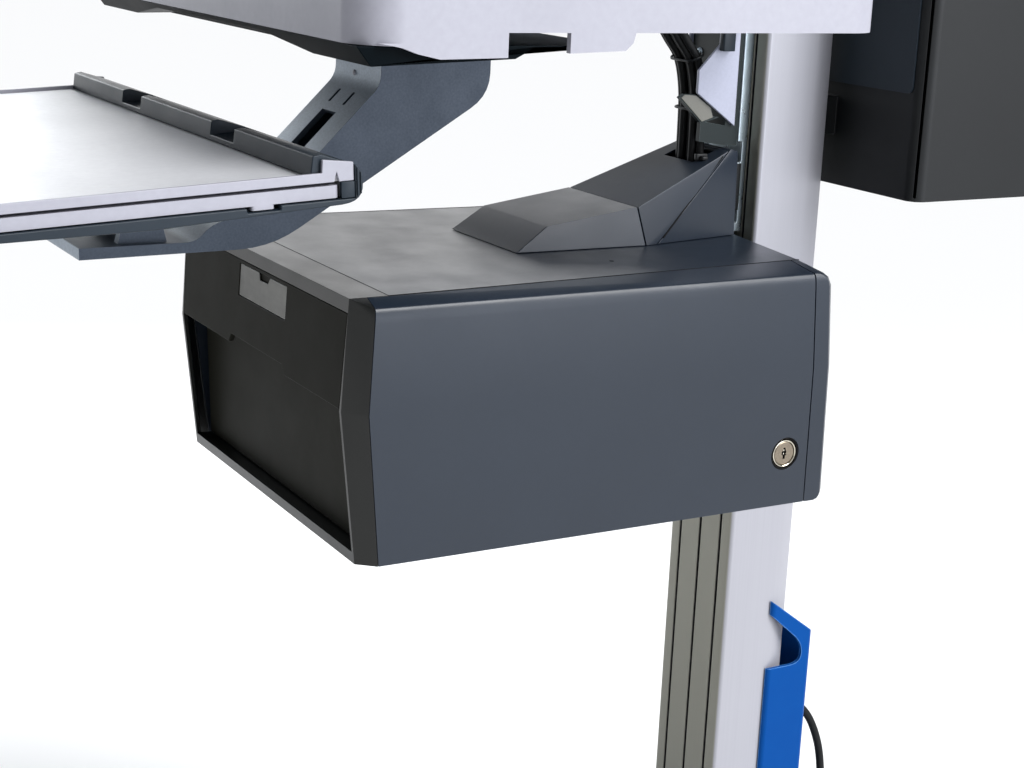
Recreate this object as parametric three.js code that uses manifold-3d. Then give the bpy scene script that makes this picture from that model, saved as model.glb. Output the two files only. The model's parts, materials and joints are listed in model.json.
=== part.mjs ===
// Medication cart: a wheeled base, an aluminium column, and a height-adjustable group with a worksurface,
// a keyboard tray and a lockable supply drawer. Millimetres, +Z up, the user stands at -Y.
// The origin is on the floor, at the middle of the cart's plan.
import * as THREE from "three";
import { ConvexGeometry } from "three/addons/geometries/ConvexGeometry.js";
import { mergeVertices } from "three/addons/utils/BufferGeometryUtils.js";
import Module from "manifold-3d";

const wasm = await Module();
wasm.setup();

// ---------------------------------------------------------------- driving dimensions

const GAP = 0.4; // between pieces that touch
const CART_HALF_DEPTH = 470; // front edge of the keyboard tray and rear edge of the base
const HOUSING_FRONT_Y = -155; // top front edge of the drawer housing
const HOUSING_BOTTOM_Z = 590; // at the rest height of the lift

const COLUMN = {
  halfWidth: 43, frontY: 397, sideRearY: 445, rearY: 466, rearHalfWidth: 35,
  edgeRadius: 4, wall: 4, frontWall: 8, slotWidth: 3.2, slotDepth: 5, sideSlotX: 28, rearSlotX: 18,
  bottomZ: 147, topZ: 1238,
};
const COLUMN_MID_Y = (COLUMN.frontY + COLUMN.rearY) / 2;

const HOUSING = {
  height: 180, creaseZ: 105.6, bottomHalf: 160.5, creaseHalf: 165.7, shoulderHalf: 164.5, shoulderZ: 165.4,
  crestHalf: 162, crestZ: 175.5, topFrontHalf: 150, topRearHalf: 133, topFrontY: 0, creaseFrontY: -4.2,
  bottomFrontY: 7.5, bevelX: 150, bevelDepth: 12.6, rearY: 393.5, rearLean: 0.066, rearMidY: 396.3,
  rearRound: 6, rearTopRound: 10, rearBottomRound: 6, wall: 3, stripDepth: 28,
  rearSeamY: 372.4, rearSeamLean: 0.052, rearSeamGap: 0.9,
};
const OPENING = { halfWidth: 147, topHalfWidth: 149.6, bottomZ: 8, topZ: 170.5 };
const DRAWER = {
  halfWidth: 146.4, topHalfWidth: 149, lipZ: 106.6, panelTopZ: 169.9, lipThickness: 4, pullTopZ: 126, backY: 13.6,
  lowerPanelTopY: 14, lowerPanelBottomY: 18, boxHalfWidth: 143, boxFrontY: 22.4, boxRearY: 330,
  boxBottomZ: 10, boxTopZ: 150, wall: 2,
};
const LABEL = { x0: -36, x1: 50, z0: 144, z1: 167.5, depth: 3 };
const LOCK = {
  y: 349.8, z: 40.7, holeRadius: 12.6, rimRadius: 10.6, faceRadius: 9, stemRadius: 5, flangeRadius: 15,
  faceX: 161.4, camX: 148.6, camReach: 24,
};
const SLIDE = { z0: 62, z1: 92, outerX: 156, innerX: 144, runnerX: 146.4, frontY: 32, rearY: 338 };

const BRIDGE = {
  frontY: 178, ridgeY: 204, ridgeZ: 198, seamY: 282, seamZ: 209, rearTopY: 376.8, rearZ: 247.6, rearY: 383,
  frontHalf: 51, ridgeHalf: 48, seamHalf: 49.5, baseHalf: 54, rearHalf: 33.5, rearBaseHalf: 36, baseSeamY: 288.5,
  seamGap: 0.9, wall: 2.6,
};
const RAIL = { halfWidth: 26, frontY: 388, rearY: 396.6, bottomZ: 181, topZ: 440, thickness: 2.5 };
const CARRIAGE = { plateX0: 25, plateX1: 28, topZ: 346 };
const WORKTOP = {
  halfWidth: 250, frontY: -42, rearY: 335, bottomZ: 354, topZ: 378, skirtZ: 346.4, skirtRearY: 52,
  cornerRadius: 28,
};
const PAN = { halfWidth: 245, lipY: -33, lipZ: 334.7, rearY: 130, rearZ: 345, topZ: 346 };
const ARM = { halfWidth: 38, wall: 4, topZ: 344.6, pocketHalf: 11.5, slotX: 12, slotWidth: 3.2 };
const TRAY = {
  rearY: -37, rearZ: 270, slopeDeg: 3, halfWidth: 235, depth: 278, plateTop: 2.6, endThickness: 2.6,
  matHalfWidth: 226, matFrontY: -202, matRearY: -30, matTop: 3.4,
  notchX0: 70, notchX1: 110, pivotY: -95, pivotZ: 224, pinRadius: 6,
};
const MOUSE_TRAY = { x0: -60, x1: 234, frontY: -262, rearY: -9, z0: -10, z1: -2.3, tabY: -56 };

const COMPARTMENT = { halfWidth: 130, frontY: 480, rearY: 606, z0: 216.5, z1: 560, wall: 3 };
const HOLDER = { outerX: 47, wall: 3, frontY: 443, rearY: 490, topZ: -134, rearTopZ: -170, bottomZ: -330 };
const LEAD = { radius: 3.5, sides: 8, steps: 48 };

const BASE = {
  halfWidth: 245, frontY: -65, rimZ: 121, shoulderZ: 150, topZ: 190, cornerRadius: 55,
  deckHalfWidth: 120, deckFrontY: 20, deckRearY: 395, wall: 4, frameZ0: 124, frameZ1: 146,
};
const CASTER = {
  x: 195, frontY: 5, rearY: 390, trail: 22, wheelRadius: 50, wheelWidth: 18, webHalf: 7,
  axleRadius: 6, topZ: 118, stemRadius: 8, stemTopZ: 140,
};
const GAS_SPRING = { radius: 14, bore: 11, rodRadius: 5, z0: 150, z1: 570, rodZ0: 360, rodZ1: 794.6 };

// ---------------------------------------------------------------- materials

const FINISH = {
  housing: { color: 0x4b515c, roughness: 0.5, metalness: 0 },
  front: { color: 0x2e2f2f, roughness: 0.45, metalness: 0 },
  arm: { color: 0x6b7280, roughness: 0.45, metalness: 0.1 },
  trim: { color: 0xe6e6ec, roughness: 0.4, metalness: 0 },
  slate: { color: 0x3e4852, roughness: 0.5, metalness: 0 },
  column: { color: 0xc4c4ca, roughness: 0.35, metalness: 0.9 },
  zinc: { color: 0xb9c3c7, roughness: 0.3, metalness: 0.95 },
  carriage: { color: 0xa9a8cc, roughness: 0.45, metalness: 0.3 },
  black: { color: 0x16181b, roughness: 0.5, metalness: 0 },
  blue: { color: 0x1565c0, roughness: 0.25, metalness: 0 },
  rubber: { color: 0x1c1d1f, roughness: 0.8, metalness: 0 },
  tyre: { color: 0x5d6064, roughness: 0.8, metalness: 0 },
  nickel: { color: 0xd9d2c4, roughness: 0.2, metalness: 1 },
  frosted: { color: 0xb9bab8, roughness: 0.6, metalness: 0 },
  base: { color: 0xd8d9dc, roughness: 0.5, metalness: 0 },
  battery: { color: 0x2b3340, roughness: 0.6, metalness: 0 },
};

// ---------------------------------------------------------------- solids

// A closed three.js geometry as a solid that can be joined and cut.
function solid(geometry) {
  const bare = geometry.index ? geometry.toNonIndexed() : geometry.clone();
  bare.deleteAttribute("normal");
  bare.deleteAttribute("uv");
  const merged = mergeVertices(bare, 1e-3);
  return new wasm.Manifold(
    new wasm.Mesh({
      numProp: 3,
      vertProperties: merged.attributes.position.array,
      triVerts: new Uint32Array(merged.index.array),
    }),
  );
}

function geometryOf(body) {
  const mesh = body.getMesh();
  const position = new Float32Array(mesh.numVert * 3);
  for (let i = 0; i < mesh.numVert; i++)
    position.set(mesh.vertProperties.subarray(i * mesh.numProp, i * mesh.numProp + 3), i * 3);
  const geometry = new THREE.BufferGeometry();
  geometry.setAttribute("position", new THREE.BufferAttribute(position, 3));
  geometry.setIndex(new THREE.BufferAttribute(new Uint32Array(mesh.triVerts), 1));
  return geometry;
}

const join = (...bodies) => bodies.reduce((a, b) => a.add(b));
const cut = (body, ...tools) => tools.reduce((a, b) => a.subtract(b), body);

function box(x0, x1, y0, y1, z0, z1) {
  const geometry = new THREE.BoxGeometry(x1 - x0, y1 - y0, z1 - z0);
  return solid(geometry.translate((x0 + x1) / 2, (y0 + y1) / 2, (z0 + z1) / 2));
}

// The smallest convex solid round a list of [x, y, z] points.
const hull = (points) => solid(new ConvexGeometry(points.map((p) => new THREE.Vector3(...p))));

const shapeOf = (outline) => (outline instanceof THREE.Shape
  ? outline
  : new THREE.Shape(outline.map(([a, b]) => new THREE.Vector2(a, b))));

function extrusion(outline, depth, curveSegments) {
  return new THREE.ExtrudeGeometry(shapeOf(outline), { depth, bevelEnabled: false, curveSegments });
}

// An outline in X and Y, pushed up from z0 to z1.
function prismZ(outline, z0, z1, curveSegments = 6) {
  return solid(extrusion(outline, z1 - z0, curveSegments).translate(0, 0, z0));
}

// An outline in Y and Z, pushed along X from x0 to x1.
function prismX(outline, x0, x1, curveSegments = 6) {
  const turn = new THREE.Matrix4().makeBasis(
    new THREE.Vector3(0, 1, 0), new THREE.Vector3(0, 0, 1), new THREE.Vector3(1, 0, 0),
  );
  return solid(extrusion(outline, x1 - x0, curveSegments).applyMatrix4(turn).translate(x0, 0, 0));
}

// An outline in X and Z, pushed along Y from y0 to y1.
function prismY(outline, y0, y1, curveSegments = 6) {
  const turn = new THREE.Matrix4().makeBasis(
    new THREE.Vector3(1, 0, 0), new THREE.Vector3(0, 0, 1), new THREE.Vector3(0, -1, 0),
  );
  return solid(extrusion(outline, y1 - y0, curveSegments).applyMatrix4(turn).translate(0, y1, 0));
}

// A turned solid from [radius, distance along the axis] points, on the Z axis.
function turned(profile, segments = 16) {
  const points = profile.map(([r, h]) => new THREE.Vector2(r, h));
  return new THREE.LatheGeometry(points, segments).rotateX(Math.PI / 2);
}
const turnedZ = (profile, x, y, segments) => solid(turned(profile, segments).translate(x, y, 0));
const turnedX = (profile, y, z, segments) =>
  solid(turned(profile, segments).rotateY(Math.PI / 2).translate(0, y, z));

function roundedRect(x0, x1, y0, y1, radius) {
  const shape = new THREE.Shape();
  shape.moveTo(x0 + radius, y0);
  shape.lineTo(x1 - radius, y0);
  shape.absarc(x1 - radius, y0 + radius, radius, -Math.PI / 2, 0);
  shape.lineTo(x1, y1 - radius);
  shape.absarc(x1 - radius, y1 - radius, radius, 0, Math.PI / 2);
  shape.lineTo(x0 + radius, y1);
  shape.absarc(x0 + radius, y1 - radius, radius, Math.PI / 2, Math.PI);
  shape.lineTo(x0, y0 + radius);
  shape.absarc(x0 + radius, y0 + radius, radius, Math.PI, 1.5 * Math.PI);
  return shape;
}

const mirrored = (points) => points.flatMap(([x, ...rest]) => [[x, ...rest], [-x, ...rest]]);

const cart = new THREE.Group();
// The lift and the fittings on the column are laid out from the drawer housing's top front edge.
const upper = new THREE.Group();
upper.position.set(0, HOUSING_FRONT_Y, HOUSING_BOTTOM_Z);
cart.add(upper);

function place(group, name, finish, body) {
  const mesh = new THREE.Mesh(geometryOf(body), new THREE.MeshStandardMaterial(FINISH[finish]));
  mesh.name = name;
  group.add(mesh);
  return mesh;
}

// ---------------------------------------------------------------- column

// Half of the column's outline, from the middle of the front to the middle of the rear.
function columnOutline(inset) {
  const half = COLUMN.halfWidth - inset;
  const r = COLUMN.edgeRadius;
  const front = COLUMN.frontY + inset;
  const corner = [];
  for (let i = 0; i <= 4; i++) {
    const a = (i / 4) * (Math.PI / 2);
    corner.push([half - r + r * Math.sin(a), front + r - r * Math.cos(a)]);
  }
  const right = [
    ...corner,
    [half, COLUMN.sideRearY - inset / 2],
    [COLUMN.rearHalfWidth - inset / 2, COLUMN.rearY - inset],
  ];
  return [...right, ...right.slice().reverse().map(([x, y]) => [-x, y])];
}

function columnCavity() {
  return [
    [36, COLUMN.frontY + COLUMN.frontWall], [36, COLUMN.sideRearY - 2], [30, COLUMN.rearY - 8],
    [-30, COLUMN.rearY - 8], [-36, COLUMN.sideRearY - 2], [-36, COLUMN.frontY + COLUMN.frontWall],
  ];
}

function buildColumn() {
  const z0 = COLUMN.bottomZ - HOUSING_BOTTOM_Z;
  const z1 = COLUMN.topZ - HOUSING_BOTTOM_Z;
  const half = COLUMN.slotWidth / 2;
  let body = cut(prismZ(columnOutline(0), z0, z1), prismZ(columnCavity(), z0 - 1, z1 + 1));
  body = cut(body, box(-half, half, COLUMN.frontY - 1, COLUMN.frontY + 12, z0 - 1, z1 + 1));
  for (const x of [-COLUMN.sideSlotX, COLUMN.sideSlotX])
    body = cut(body, box(x - half, x + half, COLUMN.frontY - 1, COLUMN.frontY + COLUMN.slotDepth, z0 - 1, z1 + 1));
  for (const x of [-COLUMN.rearSlotX, COLUMN.rearSlotX])
    body = cut(body, box(x - half, x + half, COLUMN.rearY - COLUMN.slotDepth, COLUMN.rearY + 1, z0 - 1, z1 + 1));
  place(upper, "column_extrusion", "column", body);

  const cap = join(
    prismZ(columnOutline(-1.5), z1 + GAP, z1 + 10),
    prismZ(columnOutline(2), z1 + 9, z1 + 16),
    box(-34, 34, COLUMN.frontY + 10, COLUMN.rearY - 22, z1 - 14, z1 + 2),
  );
  place(upper, "column_cap", "slate", cap);

  const foot = cut(
    hull([
      ...mirrored([[62, 372, z0], [62, 492, z0], [60, 374, z0 + 60], [60, 490, z0 + 60]]),
      ...mirrored([[52, 384, z0 + 92], [52, 479, z0 + 92]]),
    ]),
    prismZ(columnOutline(-GAP), z0 - 1, z0 + 100),
  );
  place(upper, "column_foot_clamp", "slate", foot);
}

function buildGasSpring() {
  const y = COLUMN_MID_Y + HOUSING_FRONT_Y;
  const g = GAS_SPRING;
  const cylinder = turnedZ([
    [0, g.z0], [g.radius, g.z0], [g.radius, g.z1], [g.rodRadius + GAP, g.z1], [g.rodRadius + GAP, g.z1 - 10],
    [g.bore, g.z1 - 10], [g.bore, g.z0 + 8], [0, g.z0 + 8],
  ], 0, y, 20);
  place(cart, "gas_spring_cylinder", "black", cylinder);
  const rod = turnedZ([
    [0, g.rodZ0], [g.bore - GAP, g.rodZ0], [g.bore - GAP, g.rodZ0 + 12], [g.rodRadius, g.rodZ0 + 12],
    [g.rodRadius, g.rodZ1], [0, g.rodZ1],
  ], 0, y, 20);
  place(cart, "gas_spring_rod", "nickel", rod);
}

// ---------------------------------------------------------------- base and casters

// The cover's outline at one height, as a ring of points for a convex solid.
function coverRing(halfWidth, y0, y1, radius, z) {
  return roundedRect(-halfWidth, halfWidth, y0, y1, radius).getPoints(5).map((p) => [p.x, p.y, z]);
}

function coverSolid(inset, dropRim) {
  const b = BASE;
  const rear = CART_HALF_DEPTH;
  return hull([
    ...coverRing(b.halfWidth - inset, b.frontY + inset, rear - inset, b.cornerRadius, b.rimZ - dropRim),
    ...coverRing(b.halfWidth - 7 - inset, b.frontY + 7 + inset, rear - 7 - inset, b.cornerRadius, b.shoulderZ),
    ...coverRing(b.deckHalfWidth - inset, b.deckFrontY + inset, b.deckRearY - inset, 30, b.topZ - inset),
  ]);
}

function buildBase() {
  const b = BASE;
  const footY0 = 372 + HOUSING_FRONT_Y;
  const footY1 = 492 + HOUSING_FRONT_Y;
  const cover = cut(
    coverSolid(0, 0),
    coverSolid(b.wall, b.wall),
    box(-63, 63, footY0 - 1, footY1 + 1, b.rimZ, b.topZ + 5),
    turnedZ([[0, 100], [9, 100], [9, 250], [0, 250]], 20, 365, 12),
  );
  place(cart, "base_cover", "base", cover);

  let frame = join(
    box(-60, 60, 5, 400, b.frameZ0, b.frameZ1 - 2),
    box(-215, 215, -15, 25, b.frameZ0, b.frameZ1),
    box(-215, 215, 370, 410, b.frameZ0, b.frameZ1),
    box(-95, 95, 30, 330, b.frameZ0, b.frameZ0 + 8),
  );
  for (const x of [-CASTER.x, CASTER.x])
    for (const y of [CASTER.frontY, CASTER.rearY]) {
      const boss = [[0, b.frameZ0 - 2], [25, b.frameZ0 - 2], [25, b.frameZ1], [0, b.frameZ1]];
      const r = CASTER.stemRadius + GAP;
      frame = join(frame, turnedZ(boss, x, y));
      frame = cut(frame, turnedZ([[0, 100], [r, 100], [r, 200], [0, 200]], x, y));
    }
  place(cart, "base_frame", "black", frame);
  const battery = join(
    box(-100, 100, 35, 205, b.frameZ1 + GAP, 180),
    box(-30, 30, 205, 214, 152, 172),
  );
  place(cart, "battery_pack", "battery", battery);
}

function casterHood() {
  const c = CASTER;
  const z = c.wheelRadius;
  const outer = z + 7;
  const fender = new THREE.Shape();
  fender.absarc(c.trail, z, outer, 0.15 * Math.PI, 0.86 * Math.PI);
  fender.absarc(c.trail, z, z + 3, 0.86 * Math.PI, 0.15 * Math.PI, true);
  const web = new THREE.Shape();
  web.moveTo(c.trail + 15, z + 2);
  web.lineTo(c.trail + 30, z + 35);
  web.absarc(c.trail, z, z + 5, 0.3 * Math.PI, 0.75 * Math.PI);
  web.lineTo(c.trail - 20, z + 10);
  web.absarc(c.trail, z, 14, Math.PI, 1.95 * Math.PI);
  const half = c.webHalf + c.wheelWidth + 1;
  const bore = c.axleRadius + 0.3;
  return cut(
    join(
      prismX(fender, -half, half, 8),
      prismX(web, -c.webHalf, c.webHalf, 6),
      turnedZ([[0, z + 40], [17, z + 40], [24, c.topZ], [c.stemRadius, c.topZ], [c.stemRadius, c.stemTopZ],
        [0, c.stemTopZ]], 0, 0),
    ),
    turnedX([[0, -40], [bore, -40], [bore, 40], [0, 40]], c.trail, z, 16),
    join(
      turnedX([[0, c.webHalf], [z + 2.5, c.webHalf], [z + 2.5, 60], [0, 60]], c.trail, z, 20),
      turnedX([[0, -60], [z + 2.5, -60], [z + 2.5, -c.webHalf], [0, -c.webHalf]], c.trail, z, 20),
    ),
  );
}

function casterWheels() {
  const c = CASTER;
  const inner = c.webHalf + 0.8;
  const outer = inner + c.wheelWidth - 1;
  const r = c.wheelRadius;
  const half = [
    [c.axleRadius, inner], [r - 4, inner], [r, inner + 4], [r, outer - 4], [r - 4, outer],
    [r - 12, outer], [r - 15, outer - 4], [12, outer - 4], [10, outer - 1], [0, outer - 1],
  ];
  const far = half.map(([radius, x]) => [radius, -x]).reverse();
  return turnedX([...far, ...half], c.trail, r, 20);
}

function brakePedal() {
  const c = CASTER;
  return prismX([[c.trail + 57, 66], [c.trail + 83, 72], [c.trail + 84, 77], [c.trail + 60, 75],
    [c.trail + 54, 84], [c.trail + 51.5, 80]], -18, 18);
}

function buildCasters() {
  const corners = [
    ["front_left", -CASTER.x, CASTER.frontY], ["front_right", CASTER.x, CASTER.frontY],
    ["rear_left", -CASTER.x, CASTER.rearY], ["rear_right", CASTER.x, CASTER.rearY],
  ];
  for (const [corner, x, y] of corners) {
    const caster = new THREE.Group();
    caster.position.set(x, y, 0);
    cart.add(caster);
    place(caster, "caster_hood_" + corner, "black", casterHood());
    place(caster, "caster_wheels_" + corner, "tyre", casterWheels());
    if (corner.startsWith("front")) place(caster, "brake_pedal_" + corner, "slate", brakePedal());
  }
}

// ---------------------------------------------------------------- rear compartment, cord holder, lead

function buildCompartment() {
  const c = COMPARTMENT;
  const w = c.wall;
  const shell = cut(
    join(
      prismZ(roundedRect(-c.halfWidth, c.halfWidth, c.frontY, c.rearY, 12), c.z0, c.z1),
      box(-30, 30, COLUMN.rearY + GAP, c.frontY + 1, c.z0 + 40, c.z0 + 70),
      box(-30, 30, COLUMN.rearY + GAP, c.frontY + 1, c.z1 - 90, c.z1 - 60),
    ),
    box(-c.halfWidth + w, c.halfWidth - w, c.frontY + w, c.rearY + 1, c.z0 + w, c.z1 - w),
    box(-c.halfWidth - 1, c.halfWidth + 1, c.rearY - 8, c.rearY + 1, c.z0 - 1, c.z1 + 1),
    turnedZ([[0, c.z0 - 5], [6.4, c.z0 - 5], [6.4, c.z0 + 8], [0, c.z0 + 8]], -25, 497, 16),
  );
  place(upper, "rear_compartment_body", "black", shell);
  const doorY0 = c.rearY - 8 + GAP;
  const door = join(
    prismZ(roundedRect(-c.halfWidth, c.halfWidth, doorY0, c.rearY, 3), c.z0, c.z1),
    box(60, 100, c.rearY - 1, c.rearY + 8, 380, 392),
  );
  place(upper, "rear_compartment_door", "slate", door);
}

function buildHolder() {
  const h = HOLDER;
  const w = h.wall;
  const notch = new THREE.Shape();
  notch.moveTo(h.frontY - 5, -142);
  notch.lineTo(h.frontY, -146);
  notch.lineTo(h.frontY + 28, -170);
  notch.quadraticCurveTo(h.frontY + 36, -178, h.frontY + 36, -186);
  notch.quadraticCurveTo(h.frontY + 36, -195.5, h.frontY + 24, -195.5);
  notch.lineTo(h.frontY - 5, -195.5);
  const body = cut(
    prismZ(roundedRect(-h.outerX, h.outerX, h.frontY, h.rearY, 5), h.bottomZ, h.topZ),
    box(-h.outerX + w, h.outerX - w, h.frontY - 8, h.rearY - w, h.bottomZ + w, h.topZ + 1),
    prismZ(columnOutline(-GAP), h.bottomZ - 1, h.bottomZ + 10),
    prismX([[h.frontY - 5, h.topZ + 4], [h.rearY - 3, h.rearTopZ + 4], [h.rearY + 5, h.rearTopZ - 6],
      [h.rearY + 5, h.topZ + 10], [h.frontY - 5, h.topZ + 10]], -60, 60),
    prismX(notch, -60, 60),
    box(-12, 28, h.rearY - 10, h.rearY + 5, -252, -226),
  );
  place(upper, "cord_holder", "blue", body);
}

// The lead's route: down behind the column, through the holder's rear port, and round in a slack loop.
const LEAD_ROUTE = [
  [-25, 497, 212], [-25, 497, 190], [-25, 492, 150], [-25, 484, 60], [-24, 479, -60], [-22, 478, -140],
  [-16, 478, -190], [-2, 480, -222], [8, 487, -238], [15, 499, -248], [19, 511, -258], [20, 522, -275],
  [20, 532, -302], [20, 536, -335], [20, 530, -370], [20, 523, -390], [20, 520, -401],
];

function buildLead() {
  const curve = new THREE.CatmullRomCurve3(LEAD_ROUTE.map((p) => new THREE.Vector3(...p)));
  const section = new THREE.Shape();
  for (let i = 0; i < LEAD.sides; i++) {
    const a = (2 * Math.PI * i) / LEAD.sides;
    const point = [LEAD.radius * Math.cos(a), LEAD.radius * Math.sin(a)];
    if (i === 0) section.moveTo(...point);
    else section.lineTo(...point);
  }
  const geometry = new THREE.ExtrudeGeometry(section, { steps: LEAD.steps, extrudePath: curve });
  place(upper, "power_lead", "rubber", solid(geometry));
  const z0 = COMPARTMENT.z0;
  const gland = turnedZ([[LEAD.radius + GAP, z0 - 16], [5.6, z0 - 16], [6, z0 - 4], [9.5, z0 - 3],
    [9.5, z0 - GAP], [6, z0 - GAP], [6, z0 + 6], [LEAD.radius + GAP, z0 + 6], [LEAD.radius + GAP, z0 - 16]],
  -25, 497, 16);
  place(upper, "lead_gland", "rubber", gland);
}

// ---------------------------------------------------------------- lift rail, carriage, worksurface

function buildRailAndCarriage() {
  const r = RAIL;
  const t = r.thickness;
  let rail = join(
    box(-r.halfWidth, r.halfWidth, r.rearY - t, r.rearY, r.bottomZ, r.topZ),
    box(-r.halfWidth, -r.halfWidth + t, r.frontY, r.rearY, r.bottomZ, r.topZ),
    box(r.halfWidth - t, r.halfWidth, r.frontY, r.rearY, r.bottomZ, r.topZ),
    box(-r.halfWidth, -r.halfWidth + 8, r.frontY, r.frontY + t, r.bottomZ, r.topZ),
    box(r.halfWidth - 8, r.halfWidth, r.frontY, r.frontY + t, r.bottomZ, r.topZ),
  );
  for (const z of [196, 244])
    rail = cut(rail, box(-40, 40, r.frontY - 1, r.frontY + 4, z - 8, z + 8));
  place(upper, "lift_rail", "zinc", rail);

  const web = COLUMN.slotWidth / 2 - GAP;
  const wallIn = COLUMN.frontY + COLUMN.frontWall;
  const shoe = join(
    box(-web, web, r.rearY + GAP, wallIn + 2, 195, 325),
    box(-22, 22, wallIn + GAP, wallIn + 7, 195, 325),
    box(-9, 9, wallIn + 5, COLUMN_MID_Y + 9, 205, 215),
  );
  place(upper, "lift_shoe", "black", shoe);

  const c = CARRIAGE;
  const rightPlate = [[345, 290.5], [345, 308], [364, 327.5], [364, c.topZ], [382, c.topZ], [382, 264.5]];
  const leftPlate = [[372, 272], [372, c.topZ], [382, c.topZ], [382, 264.5]];
  place(upper, "carriage_plate_right", "carriage", prismX(rightPlate, c.plateX0, c.plateX1));
  place(upper, "carriage_plate_left", "carriage", prismX(leftPlate, -c.plateX1, -c.plateX0));

  // The right cheek ends in a forked tongue that guides the cables.
  const cheek = [[331, 287], [334.8, 289.8], [346, 289], [360.6, 279.2], [363.2, 272.2], [369.2, 271.6],
    [356, 268.1], [382.6, 263.6], [387.6, 262.8], [387.6, 248.8], [372, 249.8], [351.5, 253.2], [352, 267.6]];
  const bracket = join(
    prismX(cheek, 20, c.plateX0 - GAP),
    box(-c.plateX0 + GAP, c.plateX0 - GAP, 375, 387.6, 249.6, 340),
  );
  place(upper, "carriage_bracket", "slate", bracket);
}

function buildCableBundle() {
  const curve = new THREE.CatmullRomCurve3([
    new THREE.Vector3(0, 360.4, 226), new THREE.Vector3(0, 360.4, 260), new THREE.Vector3(0, 359, 290),
    new THREE.Vector3(0, 353, 314), new THREE.Vector3(0, 342, 329), new THREE.Vector3(0, 330, 345),
  ]);
  const section = roundedRect(-17, 17, -8, 8, 7.5);
  const geometry = new THREE.ExtrudeGeometry(section, { steps: 10, extrudePath: curve, curveSegments: 3 });
  place(upper, "cable_bundle", "rubber", solid(geometry));
}

function buildWorksurface() {
  const w = WORKTOP;
  const footOutlines = [
    [[-30, 348], [-16, 345.5], [-6, 342], [8, 339], [52, 339.7], [52, 348]],
    [[94, 355], [94, 342], [133, 343.4], [138, 348], [140, 355]],
  ];
  const plan = roundedRect(-w.halfWidth, w.halfWidth, w.frontY, w.rearY, w.cornerRadius);
  const slab = prismZ(plan, w.bottomZ, w.topZ);
  const skirt = prismZ(roundedRect(-w.halfWidth, w.halfWidth, w.frontY, w.skirtRearY + 60, w.cornerRadius),
    w.skirtZ, w.bottomZ + 1);
  let top = join(slab, cut(skirt, box(-300, 300, w.skirtRearY, 200, w.skirtZ - 1, w.bottomZ)));
  for (const side of [-1, 1])
    for (const outline of footOutlines) {
      const inner = PAN.halfWidth + GAP;
      top = join(top, side > 0 ? prismX(outline, inner, w.halfWidth) : prismX(outline, -w.halfWidth, -inner));
    }
  const recess = prismZ(roundedRect(-w.halfWidth + 14, w.halfWidth - 14, w.frontY + 14, w.rearY - 14, 18),
    w.topZ - 4, w.topZ + 1);
  place(upper, "worksurface_top", "trim", cut(top, recess));

  const p = PAN;
  const panOutline = [[p.lipY, p.lipZ], [60, 338.5], [73, p.rearZ], [p.rearY, p.rearZ], [p.rearY, p.topZ],
    [w.frontY, p.topZ]];
  // The front lip rises in the middle, over the user's hands.
  const rise = [[-164, 330], [164, 330], [164, p.lipZ], [100, p.lipZ + 8], [-100, p.lipZ + 8], [-164, p.lipZ]];
  const pan = cut(prismX(panOutline, -p.halfWidth, p.halfWidth), prismY(rise, -50, -10));
  place(upper, "worksurface_pan", "slate", pan);

  const frame = cut(
    box(-92, 92, 56, 384, PAN.topZ + GAP, w.bottomZ - GAP),
    box(-60, 60, 190, 372, 340, 360),
    box(-19, 19, 300, 360, 340, 360),
  );
  place(upper, "worksurface_frame", "zinc", frame);
}

// ---------------------------------------------------------------- keyboard arm and tray

// A point on the arm's sloping front face, s down the slope and out from it.
const onSlope = (s, out) => [66.5 - 0.71 * s - 0.7045 * out, 295.5 - 0.7045 * s + 0.71 * out];
const slopeBlock = (s0, s1, out, depth) =>
  [onSlope(s0, out), onSlope(s1, out), onSlope(s1, -depth), onSlope(s0, -depth)];

function buildArm() {
  const outer = new THREE.Shape();
  outer.moveTo(72.5, ARM.topZ);
  outer.lineTo(72.5, 309);
  outer.quadraticCurveTo(72.5, 301, ...onSlope(0, 0));
  outer.lineTo(-2.5, 227);
  outer.quadraticCurveTo(-14.5, 215, -32.5, 214);
  outer.quadraticCurveTo(-48.5, 213, -56.5, 204);
  outer.quadraticCurveTo(-60.5, 199.4, -68.5, 199.4);
  outer.lineTo(-140, 199.4);
  outer.lineTo(-140, 191.5);
  outer.lineTo(-30, 192.5);
  outer.quadraticCurveTo(-6, 193, 14, 205.5);
  outer.lineTo(143, 284);
  outer.quadraticCurveTo(158, 293, 158, 309);
  outer.lineTo(158, ARM.topZ);
  const w = ARM.wall;
  const inner = [[72.5 + w + 2, 340], [72.5 + w + 2, 304], onSlope(0, -w), onSlope(84, -w), [4, 222], [12, 212],
    [140, 288], [152, 310], [152, 340]];
  const h = ARM.halfWidth;
  const lug = [[-112, 198], [-104, 232], [-95, 236], [-86, 232], [-78, 198]];
  const pin = TRAY.pinRadius + GAP;
  let arm = cut(
    prismX(outer, -h, h, 5),
    prismX(inner, -h + w, h - w),
    prismX(slopeBlock(22, 72, 6, 14), -ARM.pocketHalf, ARM.pocketHalf),
  );
  for (const x of [-ARM.slotX, ARM.slotX])
    arm = cut(arm, prismX(slopeBlock(2.5, 14.5, 4, 8), x - ARM.slotWidth / 2, x + ARM.slotWidth / 2));
  arm = cut(arm, solid(new THREE.CylinderGeometry(2, 2, 30, 12).translate(-5, 78, 305.5)));
  for (const x of [-30, 22]) arm = join(arm, prismX(lug, x, x + 8));
  const bore = turnedX([[0, -60], [pin, -60], [pin, 60], [0, 60]], TRAY.pivotY, TRAY.pivotZ, 20);
  place(upper, "keyboard_arm", "arm", cut(arm, bore));
}

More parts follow.
